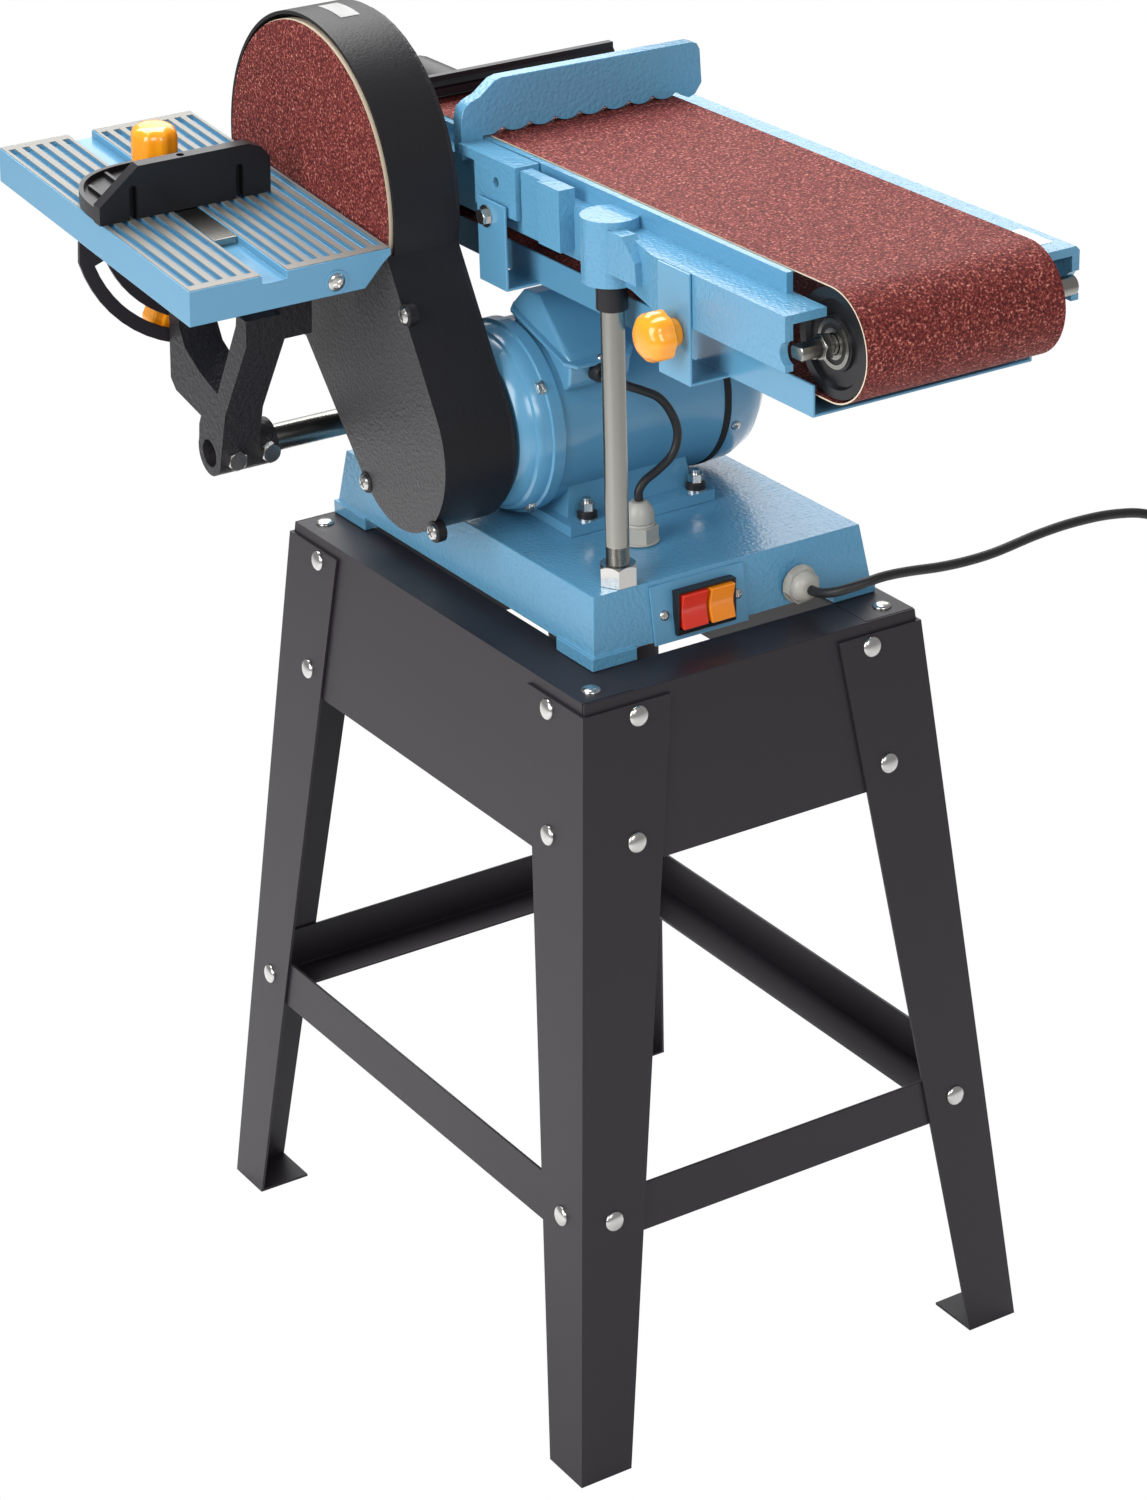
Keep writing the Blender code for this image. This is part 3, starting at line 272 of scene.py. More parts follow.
def fluted(axis, centre, profile, lobes=8, depth=0.055, segments=96):
    """A turned knob whose sides carry soft rounded flats."""
    bm = turned(axis, centre, profile, segments)
    iu, iv, _ = AXES[axis]
    widest = max(r for _, r in profile)
    for vert in bm.verts:
        du, dv = vert.co[iu] - centre[0], vert.co[iv] - centre[1]
        if hypot(du, dv) > 0.8 * widest:
            scale = 1 - depth * (0.5 - 0.5 * cos(atan2(dv, du) * lobes)) ** 1.5
            vert.co[iu] = centre[0] + du * scale
            vert.co[iv] = centre[1] + dv * scale
    return bm


def arc(centre, r, start, end, steps):
    angles = [radians(start + (end - start) * i / steps) for i in range(steps + 1)]
    return [(centre[0] + r * cos(a), centre[1] + r * sin(a)) for a in angles]


def wrapped(a, ra, b, rb, steps):
    """The outline of a band stretched round two circles."""
    dx, dy = b[0] - a[0], b[1] - a[1]
    along = atan2(dy, dx)
    spread = acos((ra - rb) / hypot(dx, dy))
    points = []
    for centre, r, start, end in ((a, ra, along + spread, along - spread + 2 * pi),
                                  (b, rb, along - spread, along + spread)):
        for i in range(steps + 1):
            t = start + (end - start) * i / steps
            points.append((centre[0] + r * cos(t), centre[1] + r * sin(t)))
    return points


def joined(*parts):
    whole = bmesh.new()
    for bm in parts:
        mesh = bpy.data.meshes.new("part")
        bm.to_mesh(mesh)
        bm.free()
        whole.from_mesh(mesh)
        bpy.data.meshes.remove(mesh)
    return whole


def from_node(name):
    """A copy of a CAD node's shape, with its flat faces whole again."""
    bm = bmesh.new()
    bm.from_mesh(nodes[name].data)
    bmesh.ops.remove_doubles(bm, verts=bm.verts, dist=0.00001)
    bmesh.ops.dissolve_limit(bm, angle_limit=radians(1.0), verts=bm.verts, edges=bm.edges)
    return bm


def object_of(name, bm, place=AT_STAND):
    bm.transform(place)
    mesh = bpy.data.meshes.new(name)
    bm.to_mesh(mesh)
    bm.free()
    made = bpy.data.objects.new(name, mesh)
    bpy.context.scene.collection.objects.link(made)
    return made


def boolean(made, bm, place=AT_STAND, operation="DIFFERENCE"):
    """Cuts a shape out of a piece, or joins it on."""
    cutter = object_of("cutter", bm, place)
    work = made.modifiers.new("work", "BOOLEAN")
    work.object = cutter
    work.operation = operation
    work.solver = "EXACT"
    shape = bpy.data.meshes.new_from_object(made.evaluated_get(bpy.context.evaluated_depsgraph_get()))
    made.modifiers.remove(work)
    old = made.data
    made.data = shape
    bpy.data.meshes.remove(old)
    bpy.data.objects.remove(cutter)


def finish(made, look, body, stands_for=(), bevel=0.0, segments=2, sharp=38):
    """Gives a piece its finish, its rounded edges, and the CAD body that it moves with."""
    mesh = made.data
    mesh.materials.clear()
    mesh.materials.append(look)
    bm = bmesh.new()
    bm.from_mesh(mesh)
    if bevel:
        bmesh.ops.dissolve_limit(bm, angle_limit=radians(1.0), verts=bm.verts, edges=bm.edges)
    limit = radians(sharp)
    for face in bm.faces:
        face.smooth = True
    for edge in bm.edges:
        edge.smooth = len(edge.link_faces) == 2 and edge.calc_face_angle(0.0) < limit
    bm.to_mesh(mesh)
    bm.free()
    if bevel:
        round_edges = made.modifiers.new("round_edges", "BEVEL")
        round_edges.width = bevel
        round_edges.segments = segments
        round_edges.limit_method = "ANGLE"
        round_edges.angle_limit = limit
        round_edges.use_clamp_overlap = True
        round_edges.harden_normals = True
    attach(made, body)
    if stands_for:
        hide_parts(*stands_for)
    return made


def show(name, bm, look, body, stands_for=(), bevel=0.0, segments=2, sharp=38, place=AT_STAND):
    return finish(object_of(name, bm, place), look, body, stands_for, bevel, segments, sharp)


def remake(name, look, body, bevel=0.001, segments=2, sharp=38):
    """A CAD node shown as it is, with rounded edges."""
    return show(name + "_look", from_node(name), look, body, (name,), bevel, segments, sharp, AS_IS)


surfaces = {}


def surface_point(name, start, direction, place=AT_STAND):
    """Where a line from a point meets a CAD node, and the way that the surface faces there."""
    if name not in surfaces:
        bm = bmesh.new()
        bm.from_mesh(nodes[name].data)
        surfaces[name] = BVHTree.FromBMesh(bm)
        bm.free()
    start = place @ Vector(start)
    direction = (place.to_3x3() @ Vector(direction)).normalized()
    spot, normal, _, _ = surfaces[name].ray_cast(start, direction)
    if spot is None:
        raise ValueError("no surface on " + name)
    if normal.dot(direction) > 0:
        normal = -normal
    return spot, normal


def facing(spot, normal, turn=0.0):
    """A matrix that puts Z along the normal at the spot."""
    turning = normal.to_track_quat("Z", "Y").to_matrix().to_4x4()
    return Matrix.Translation(spot) @ turning @ Matrix.Rotation(turn, 4, "Z")


# ---------------------------------------------------------------- fasteners, drawn along +Z from z = 0
def dome_head(r, height):
    profile = [(-0.0004, 0), (-0.0004, r), (0.0006, r)]
    for i in range(1, 8):
        a = pi / 2 * i / 8
        profile.append((0.0006 + (height - 0.0006) * sin(a), r * cos(a)))
    profile.append((height, 0))
    return turned("Z", (0, 0), profile, 28)


def hex_prism(across, low, high):
    r = across / sqrt(3)
    body = rod("Z", (0, 0), r, low, high, 6)
    crown = turned("Z", (0, 0), [(low - 0.01, 0), (low - 0.01, r * 1.2), (high - r * 0.16, r * 1.04),
                                 (high, r * 0.86), (high, 0)], 36)
    made = object_of("hexagon", body, AS_IS)
    boolean(made, crown, AS_IS, "INTERSECT")
    bm = bmesh.new()
    bm.from_mesh(made.data)
    bpy.data.objects.remove(made)
    return bm


def washer(r, inner, thickness):
    return tube("Z", (0, 0), r, inner, -0.0003, thickness, 32)


def hex_bolt(across, washer_r=None):
    lift = 0.0
    parts = []
    if washer_r:
        parts.append(washer(washer_r, across * 0.3, 0.0014))
        lift = 0.0013
    parts.append(hex_prism(across, lift, lift + across * 0.42))
    return joined(*parts)


def cross_screw(r, height):
    """A pan head screw with a cross recess."""
    profile = [(-0.0004, 0), (-0.0004, r), (height * 0.35, r), (height * 0.75, r * 0.86),
               (height, r * 0.55), (height, 0)]
    made = object_of("screw", turned("Z", (0, 0), profile, 28), AS_IS)
    arm, wide = r * 0.58, r * 0.13
    for a, b in ((arm, wide), (wide, arm)):
        boolean(made, box((-a, -b, height * 0.35), (a, b, height + 0.001)), AS_IS)
    bm = bmesh.new()
    bm.from_mesh(made.data)
    bpy.data.objects.remove(made)
    return bm


def put(bm, spot, normal, turn=0.0):
    bm.transform(facing(spot, normal, turn))
    return bm


def fasteners(name, parts, body):
    return show(name, joined(*parts), chrome, body, (), 0.0, 2, 30, AS_IS)


# ---------------------------------------------------------------- stand
def half_at(axis, z):
    return STAND_FOOT[axis] + (STAND_TOP[axis] - STAND_FOOT[axis]) * z / STAND_HEIGHT


def make_stand():
    heads = []
    for front, sy in (("front", -1), ("rear", 1)):
        for left, sx in (("left", -1), ("right", 1)):
            leg = "leg_%s_%s" % (front, left)
            remake(leg, satin_steel, "root", 0.0009)
            for z, offset in LEG_BOLTS:
                x, y = sx * (half_at(0, z) - offset), sy * (half_at(1, z) - offset)
                for start, way in (((x, sy * 0.4, z), (0, -sy, 0)), ((sx * 0.4, y, z), (-sx, 0, 0))):
                    heads.append(put(dome_head(0.0075, 0.0034), *surface_point(leg, start, way)))
            corner = (sx * (STAND_TOP[0] - 0.0145), sy * (STAND_TOP[1] - 0.0145), STAND_HEIGHT)
            heads.append(put(dome_head(0.0068, 0.0030), AT_STAND @ Vector(corner), UP))
    fasteners("stand_bolts", heads, "root")
    for side in ("front", "rear", "left", "right"):
        for part in ("apron_", "stretcher_"):
            remake(part + side, satin_steel, "root", 0.0008)


# ---------------------------------------------------------------- base and switch
def make_base():
    remake("base_casting", hammer_blue, "root", 0.0028, 4, 30)
    remake("switch_plate", smooth_blue, "root", 0.0004)
    spots = []
    for x, z in ((-0.0435, 0.5955), (0.0165, 0.5965)):
        spot, normal = surface_point("switch_plate", (x, -0.4, z), (0, 1, 0))
        spots.append(put(cross_screw(0.0036, 0.0018), spot, normal, 0.6))
    fasteners("switch_screws", spots, "root")
    low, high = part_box("rocker_switch")
    key_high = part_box("safety_key")[1]
    face_y = surface_point("switch_plate", (-0.0435, -0.4, 0.5955), (0, 1, 0))[0].y
    x0, x1 = low.x - 0.0030, key_high.x + 0.0030
    z0, z1 = low.z - 0.0050, high.z + 0.0022
    bezel = object_of("switch_bezel", box((x0, face_y - 0.0065, z0), (x1, face_y + 0.0006, z1)), AS_IS)
    gap, press_gap = 0.0006, 0.0015                # the rocker's left end swings out when it is pressed
    opening = box((low.x - press_gap, face_y - 0.02, low.z - gap),
                  (key_high.x + gap, face_y + 0.02, high.z + gap))
    boolean(bezel, opening, AS_IS)
    slope = [(face_y - 0.02, z0 - 0.001), (face_y - 0.0035, z0 - 0.001), (face_y - 0.02, z0 + 0.010)]
    boolean(bezel, prism("X", slope, x0 - 0.01, x1 + 0.01), AS_IS)
    finish(bezel, plastic_black, "root", (), 0.0009, 3)
    for node, look, body in (("rocker_switch", red, "rocker"), ("safety_key", amber, "key")):
        a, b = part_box(node)
        middle = (a.z + b.z) / 2
        outline = [(b.y, a.z), (b.y, b.z), (a.y + 0.0002, b.z), (a.y + 0.0030, middle + 0.002),
                   (a.y + 0.0030, middle - 0.002), (a.y, a.z)]
        show(node + "_look", prism("X", outline, a.x, b.x), look, body, (node,), 0.0008, 3, 30, AS_IS)


def gland(node, axis, centre, start, way, length):
    """A cable gland from start along the axis: a hexagon, a ribbed ring and a rounded nut."""
    r = GLAND_FLATS / sqrt(3)
    hexagon = rod(axis, centre, r, *sorted((start, start + way * length * 0.42)), 6, 0.3)
    steps = ((0.40, 0), (0.40, 0.0108), (0.46, 0.0112), (0.50, 0.0104), (0.52, 0.0109), (0.70, 0.0106),
             (0.85, 0.0092), (0.95, 0.0072), (1.0, 0.0056), (1.0, 0))
    ring = turned(axis, centre, [(start + way * length * a, b) for a, b in steps], 48)
    collar = rod(axis, centre, r * 1.03, *sorted((start + way * 0.0005, start + way * length * 0.06)), 48)
    show(node + "_look", joined(hexagon, ring, collar), grey, "root", (node,), 0.0005, 2, 30)


def make_glands():
    low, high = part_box("cord_gland")
    gland("cord_gland", "Y", (CORD_EXIT[2], CORD_EXIT[0]), high.y - MACHINE.y, -1, high.y - low.y)
    low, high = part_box("motor_gland")
    gland("motor_gland", "Z", (-0.017, -0.085), low.z, 1, high.z - low.z)


# ---------------------------------------------------------------- motor
def make_motor():
    y, z = MOTOR
    bell = [(-0.0840, 0.0210), (-0.0840, 0.0330), (-0.0832, 0.0345), (-0.0832, 0.0400), (-0.0840, 0.0415),
            (-0.0838, 0.0560), (-0.0800, 0.0600), (-0.0745, 0.0620), (-0.0735, 0.0645), (-0.0700, 0.0660),
            (-0.0640, 0.0666), (-0.0635, 0.0690), (-0.0545, 0.0690), (-0.0533, 0.0682), (-0.0533, 0.0210)]
    show("end_bell", turned("X", MOTOR, bell, 96), smooth_blue, "root", ("motor_end_bell",), 0.0, 2, 30)
    body = [(-0.0530, 0.0665), (0.0815, 0.0665), (0.0822, 0.0655), (0.0830, 0.0640), (0.0830, 0.0460),
            (-0.0530, 0.0460)]
    made = object_of("motor_shell", turned("X", MOTOR, body, 96), AT_STAND)
    foot_low, foot_high = BASE_TOP + 0.0003, BASE_TOP + 0.008
    boolean(made, box((-0.0528, y - 0.069, foot_low), (0.0680, y + 0.069, foot_high)), operation="UNION")
    for side in (-1, 1):
        edge = sorted((y + side * 0.024, y + side * 0.052))
        web = [(z - 0.030, x) for x in (0.052, -0.042)] + [(foot_high - 0.001, x) for x in (-0.045, 0.060)]
        boolean(made, prism("Y", web, *edge), operation="UNION")
    finish(made, smooth_blue, "root", ("motor_body",), 0.0016, 3, 35)
    cover = [(0.0833, 0.0600), (0.0833, 0.0655), (0.0850, 0.0668), (0.1010, 0.0660), (0.1130, 0.0610),
             (0.1220, 0.0520), (0.1262, 0.0400), (0.1270, 0.0300), (0.1270, 0.0120), (0.1250, 0.0120),
             (0.1250, 0.0300), (0.1200, 0.0500), (0.1100, 0.0590), (0.0990, 0.0630)]
    shell = object_of("fan_shell", turned("X", MOTOR, cover, 96), AT_STAND)
    for ring_r, count in ((0.020, 8), (0.031, 12), (0.042, 16)):
        for i in range(count):
            a = 2 * pi * i / count
            boolean(shell, rod("X", (y + ring_r * cos(a), z + ring_r * sin(a)), 0.0034, 0.110, 0.135, 12))
    finish(shell, smooth_blue, "root", ("fan_cover",), 0.0, 2, 30)
    # painted shade: a near-black ring laid over the groove between the motor body and the fan cover, where
    # shade falls
    gap = [(0.0790, 0.0672), (0.0842, 0.0672), (0.0842, 0.0640), (0.0790, 0.0640)]
    show("painted_seam_shade_ring", turned("X", MOTOR, gap, 96), dark_gap, "root")
    heads = []
    for a in (56, 146, 236, 326):
        spot = AT_STAND @ Vector((-0.0640, y + 0.0655 * cos(radians(a)), z + 0.0655 * sin(radians(a))))
        heads.append(put(hex_bolt(0.0080, 0.0056), spot, Vector((-1, 0, 0))))
    for a in (20, 110, 200, 290):
        direction = Vector((0, cos(radians(a)), sin(radians(a))))
        spot = AT_STAND @ (Vector((0.0905, y, z)) + direction * 0.0666)
        heads.append(put(cross_screw(0.0036, 0.0020), spot, direction, 0.4))
    feet = [AT_STAND @ Vector((x, y + side * 0.061, foot_high)) for side in (-1, 1) for x in (-0.034, 0.057)]
    for spot, turn in zip(feet, (-0.4, -0.4, 0.4, 0.4)):
        heads.append(put(washer(0.0075, 0.003, 0.0015), spot, UP))
        heads.append(put(hex_prism(0.0100, 0.0065, 0.0125), spot, UP, turn))
        heads.append(put(rod("Z", (0, 0), 0.0031, 0.0, 0.0155, 20), spot, UP))
    fasteners("motor_fasteners", heads, "root")
    cap = [(0.001, 0), (0.001, 0.0072), (0.0050, 0.0072), (0.0066, 0.0058), (0.0066, 0)]
    caps = [put(turned("Z", (0, 0), cap, 32), spot, UP) for spot in feet]
    show("motor_foot_caps", joined(*caps), rubber, "root", (), 0.0, 2, 30, AS_IS)
    make_terminal_box()


def hull(points):
    bm = bmesh.new()
    for point in points:
        bm.verts.new(point)
    bmesh.ops.convex_hull(bm, input=bm.verts)
    bmesh.ops.dissolve_limit(bm, angle_limit=radians(1.0), verts=bm.verts, edges=bm.edges)
    return bm


def make_terminal_box():
    def seat(y, lift=0.0):
        return 0.7421 + 0.2976 * (y + 0.0560) + lift

    x0, x1, y0, y1 = -0.0525, 0.0040, -0.0560, 0.0260
    cut = 0.007
    corners = ((x0 + cut, y0), (x1 - cut, y0), (x1, y0 + cut), (x1, y1 - cut), (x1 - cut, y1), (x0 + cut, y1),
               (x0, y1 - cut), (x0, y0 + cut))
    rim = loft([[Vector((x, y, seat(y, lift))) for x, y in corners] for lift in (0.0002, 0.0032)])
    show("terminal_rim", rim, smooth_blue, "root", ("terminal_box",), 0.0010, 3, 25)
    foot = [(x, y) for x in (x0 + 0.003, x1 - 0.003) for y in (y0 + 0.005, y1 - 0.003)]
    points = [(x, y, seat(y, 0.0028)) for x, y in foot]
    points += [(x0 + 0.0070, -0.0470, 0.7513), (x1 - 0.0070, -0.0470, 0.7513), (x0 + 0.0090, -0.0020, 0.7822),
               (x1 - 0.0090, -0.0020, 0.7822), (x0 + 0.0090, 0.0150, 0.7810), (x1 - 0.0090, 0.0150, 0.7810)]
    show("terminal_lid", hull(points), smooth_blue, "root", (), 0.0020, 4, 15)
    bowl = [(y0 + 0.004, seat(y0 + 0.004)), (y1 - 0.004, seat(y1 - 0.004)), (y1 - 0.010, 0.7200),
            (y0 + 0.018, 0.7200), (y0 + 0.0065, 0.7290)]
    bowl_look = object_of("terminal_bowl", prism("X", bowl, x0 + 0.0035, x1 - 0.0035))
    boolean(bowl_look, rod("X", MOTOR, 0.0660, -0.1, 0.1, 64))
    finish(bowl_look, smooth_blue, "root", (), 0.0022, 3)
    way = Vector((0, -0.2852, 0.9585))
    heads = [put(cross_screw(0.0030, 0.0016), AT_STAND @ Vector((x, y, seat(y, 0.0032))), way, 0.5)
             for x, y in ((-0.0243, y0 + 0.0036), (-0.0243, y1 - 0.0020))]
    fasteners("terminal_screws", heads, "root")
    sleeve = [(-0.0450, 0), (-0.0450, 0.0072), (-0.0560, 0.0072), (-0.0600, 0.0055), (-0.0600, 0)]
    show("lead_grommet", turned("Y", (0.7370, -0.0270), sleeve, 32), rubber, "root")


# ---------------------------------------------------------------- cover, disc, drive
def taper(inset, steps=48):
    return wrapped(SHAFT, COVER_R[1] - inset, COVER_MOTOR, COVER_R[2] - inset, steps)


def make_cover():
    low, high = COVER_X
    wall = 0.0025
    side = object_of("cover_side", prism("X", taper(0.0), GUARD_X, high))
    boolean(side, rod("X", SHAFT, COVER_R[0], GUARD_X, high, 128), operation="UNION")
    boolean(side, box((GUARD_X - 0.01, -0.20, GUARD_TOP), (low, 0.40, 1.10)))
    boolean(side, prism("X", taper(wall), GUARD_X + wall, high + 0.01))
    boolean(side, rod("X", SHAFT, COVER_R[0] - wall, GUARD_X + wall, high + 0.01, 128))
    mesh = side.data
    finish(side, smooth_black, "root", ("pulley_cover",), 0.0022, 3, 50)
    # faces looking along -X at the cover's front take the lighter black, which holds painted sheen as well as
    # coarser pebbling
    mesh.materials.append(pebbled_black_with_painted_sheen)
    for face in mesh.polygons:
        if face.normal.x < -0.9 and face.center.x < GUARD_X + MACHINE.x + 0.001:
            face.material_index = 1
    remake("spindle_housing", rough_iron, "root", 0.0008)
    screws = []
    lugs = []
    for y, z in ((0.0011, 0.7868), (0.0684, 0.6444), (-0.0246, 0.6378)):
        lugs.append(rod("X", (y, z), 0.0078, GUARD_X - 0.0010, GUARD_X + 0.006, 32))
        spot = AT_STAND @ Vector((GUARD_X - 0.0010, y, z))
        screws.append(put(cross_screw(0.0056, 0.0028), spot, Vector((-1, 0, 0)), 0.7))
    show("cover_lugs", joined(*lugs), smooth_black, "root", (), 0.0006)
    curve = arc(SHAFT, COVER_R[0] + 0.0003, 84, 100, 8)
    bm = bmesh.new()
    near, far = [[bm.verts.new((x, y, z)) for y, z in curve] for x in (-0.1200, -0.1050)]
    for corners in zip(near, near[1:], far[1:], far):
        bm.faces.new(corners)
    bmesh.ops.solidify(bm, geom=bm.faces[:], thickness=0.0002)
    show("cover_label", bm, white_label, "root")
    fasteners("cover_screws", screws, "root")


def make_disc():
    back = DISC_FACE_X + 0.0006
    paper = [(DISC_FACE_X, 0), (DISC_FACE_X, DISC_R - 0.0004), (back, DISC_R - 0.0004), (back, 0)]
    show("disc_abrasive_look", turned("X", SHAFT, paper, 128), grit, "spindle", ("abrasive_disc",))
    back += 0.0002
    plate = [(back, 0), (back, DISC_R), (back + 0.006, DISC_R), (back + 0.007, DISC_R - 0.001),
             (back + 0.007, 0.030), (-0.1295, 0.018), (-0.1293, 0)]
    show("disc_plate_look", turned("X", SHAFT, plate, 128), cream, "spindle", ("disc_plate",))


def make_drive():
    for node in ("driven_pulley", "motor_pulley"):
        remake(node, bare, "spindle" if node == "driven_pulley" else "rotor", 0.0005)
    remake("drive_belt", rubber, "root", 0.0004)
    remake("main_shaft", steel, "spindle", 0.0005)
    remake("motor_rotor", steel, "rotor", 0.0005)
    x0, x1 = BELT_X
    drum = [(x0 + 0.003, 0.0352), (x0 + 0.030, 0.0362), (x1 - 0.030, 0.0362), (x1 - 0.003, 0.0352),
            (x1 - 0.003, 0.0098), (x0 + 0.003, 0.0098)]
    show("drive_drum_look", turned("X", SHAFT, drum, 96), drum_black, "spindle", ("drive_drum",))


# ---------------------------------------------------------------- belt arm
def make_belt():
    x0, x1 = BELT_X
    outer, inner = [arc(SHAFT, r, -90, 90, 40) + arc(IDLER, r, 90, 270, 40)
                    for r in (BELT_R, BELT_R - 0.0010)]
    rings = [[Vector((x, u, v)) for u, v in line]
             for x, line in ((x0, outer), (x1, outer), (x1, inner), (x0, inner))]
    belt = show("belt_look", loft(rings, True), grit, "arm", ("sanding_belt",))
    belt.data.materials.append(cream)
    for face in belt.data.polygons:
        if abs(face.normal.x) > 0.5:
            face.material_index = 1


def make_idler():
    y, z = IDLER
    x0, x1 = BELT_X[0] + 0.002, BELT_X[1] - 0.002
    drum = [(x0, 0.0350), (x0 + 0.028, 0.0362), (x1 - 0.028, 0.0362), (x1, 0.0350), (x1, 0.0290),
            (x1 - 0.003, 0.0280), (x1 - 0.003, 0.0180), (x1 - 0.001, 0.0175), (x1 - 0.001, 0.0069),
            (x0 + 0.001, 0.0069), (x0 + 0.001, 0.0175), (x0 + 0.0032, 0.0182), (x0 + 0.0032, 0.0275),
            (x0 + 0.0012, 0.0285), (x0, 0.0290)]
    show("idler_drum_look", turned("X", IDLER, drum, 128), plastic_black, "idler", ("idler_drum",),
         sharp=30)
    races = [tube("X", IDLER, r, r - 0.0028, x0 - 0.0002, x0 + 0.004) for r in (0.0160, 0.0100)]
    show("idler_bearing", joined(*races), steel, "idler")
    show("idler_seal", tube("X", IDLER, 0.0134, 0.0098, x0 + 0.0004, x0 + 0.004), rubber, "idler")
    low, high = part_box("idler_axle")
    start, end = low.x - MACHINE.x, high.x - MACHINE.x
    profile = [(start, 0), (start, 0.0058), (start + 0.0006, 0.0065), (end, 0.0065), (end, 0)]
    axle = object_of("axle", turned("X", IDLER, profile, 48))
    for side in (-1, 1):
        edge = sorted((z + side * 0.0040, z + side * 0.010))
        boolean(axle, box((start - 0.001, y - 0.02, edge[0]), (start + 0.012, y + 0.02, edge[1])))
    finish(axle, steel, "carriage", ("idler_axle",))
    nut = hex_prism(0.0155, 0.0, 0.0060)
    nut.transform(facing(AT_STAND @ Vector((start + 0.0225, y, z)), Vector((-1, 0, 0)), 0.3))
    show("axle_nut", nut, steel, "carriage", (), 0.0, 2, 30, AS_IS)


def make_rails():
    remake("left_rail", hammer_blue, "arm", 0.0018, 3, 30)
    remake("right_channel", hammer_blue, "arm", 0.0018, 3, 30)
    remake("platen", bare, "arm", 0.0008)
    remake("belt_tray", smooth_blue, "arm", 0.0007, 2, 30)
    label = box((0.1245, -0.3350, 0.8710), (0.1362, -0.3020, 0.8713))
    show("blank_label", label, white_label, "arm")


def make_rear_cover():
    remake("rear_cover", plastic_black, "arm", 0.0010, 2, 30)


def make_fence():
    low, high = 0.040, 0.051
    outline = [(0.1125, 0.8828), (0.1180, 0.8846), (0.1236, 0.8920), (0.1223, 0.9160), (0.1200, 0.9205),
               (0.1150, 0.9222), (-0.0400, 0.9240), (-0.0460, 0.9225), (-0.0580, 0.9135), (-0.0655, 0.9110),
               (-0.0711, 0.9072), (-0.0735, 0.8990), (-0.0735, 0.8715), (-0.0575, 0.8715), (-0.0560, 0.8856)]
    cusps = [-0.0401, -0.0187, 0.0020, 0.0221, 0.0421, 0.0627, 0.0824, 0.1023]
    scallops = []
    for a, b in zip(cusps, cusps[1:]):
        for j in range(8):
            t = j / 8
            scallops.append((a + (b - a) * t, 0.8892 - 0.0040 * sin(pi * t) ** 0.7))
    scallops.append((cusps[-1], 0.8892))
    line = [(v, u) for u, v in outline + [(-0.0480, 0.8853)] + scallops + [(0.1055, 0.8862)]]
    made = object_of("fence_look", prism("Y", line, low, high))
    finish(made, hammer_blue, "arm", ("stop_fence",), 0.0008, 2, 40)
    clamp = object_of("fence_clamp", box((-0.0765, -0.0330, 0.8480), (-0.0668, 0.0195, 0.8845)))
    boolean(clamp, box((-0.0764, -0.0328, 0.8775), (-0.0575, low - 0.0002, 0.8844)), operation="UNION")
    boolean(clamp, rod("X", (-0.0081, 0.8690), 0.0036, -0.09, -0.0700, 28))
    finish(clamp, hammer_blue, "arm", (), 0.0012, 3, 30)
    pin = [(-0.0735, 0), (-0.0735, 0.0020), (-0.0702, 0.0030), (-0.0702, 0)]
    show("fence_screw", turned("X", (-0.0081, 0.8690), pin, 24), dark_gap, "arm")


def make_arm_fasteners():
    heads = []
    spot, normal = surface_point("belt_tray", (-0.30, -0.0010, 0.8445), (1, 0, 0))
    heads.append(put(hex_bolt(0.0100, 0.0078), spot, normal, 0.2))
    fasteners("tray_bolt", heads, "arm")


def knob(node, centre, start, way, reach, r, body):
    """A fluted knob on a stem along X, from start for its reach."""
    steps = ((0, 0), (0, 0.009), (0.006, 0.009), (0.0066, r - 0.0030), (0.0092, r), (reach - 0.0075, r),
             (reach - 0.0042, r - 0.0016), (reach - 0.0012, r - 0.0052), (reach, r - 0.0080), (reach, 0))
    profile = [(start + way * along, out) for along, out in steps]
    show(node + "_look", fluted("X", centre, profile), orange, body, (node,), sharp=32)


def make_knobs():
    low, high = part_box("tracking_knob")
    knob("tracking_knob", TRACKING, low.x - MACHINE.x, 1, high.x - low.x, 0.0175, "tracking")
    low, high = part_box("tray_knob")
    knob("tray_knob", TRAY_KNOB, high.x - MACHINE.x, -1, high.x - low.x, 0.0165, "tray_screw")


def make_post():
    low = BASE_TOP + 0.0003
    profile = [(low, 0)]
    z = low
    while z < 0.6460:
        profile += [(z, 0.0081), (z + 0.0008, 0.0074)]
        z += 0.0016
    profile += [(0.6475, 0.0081), (0.8135, 0.0081), (0.8140, 0.0076), (0.8140, 0)]
    show("post_look", turned("Z", POST, profile, 48), steel, "root", ("support_post",), sharp=40)
    place = Matrix.Translation(MACHINE + Vector((*POST, low)))
    nut = object_of("post_nut_look", hex_prism(0.0240, 0.0, 0.0145), place)
    boolean(nut, rod("Z", POST, 0.0084, 0.6, 0.7, 48))
    finish(nut, chrome, "root", ("post_nut",), 0.0, 2, 30)
    remake("post_bush", plastic_black, "root", 0.0006)


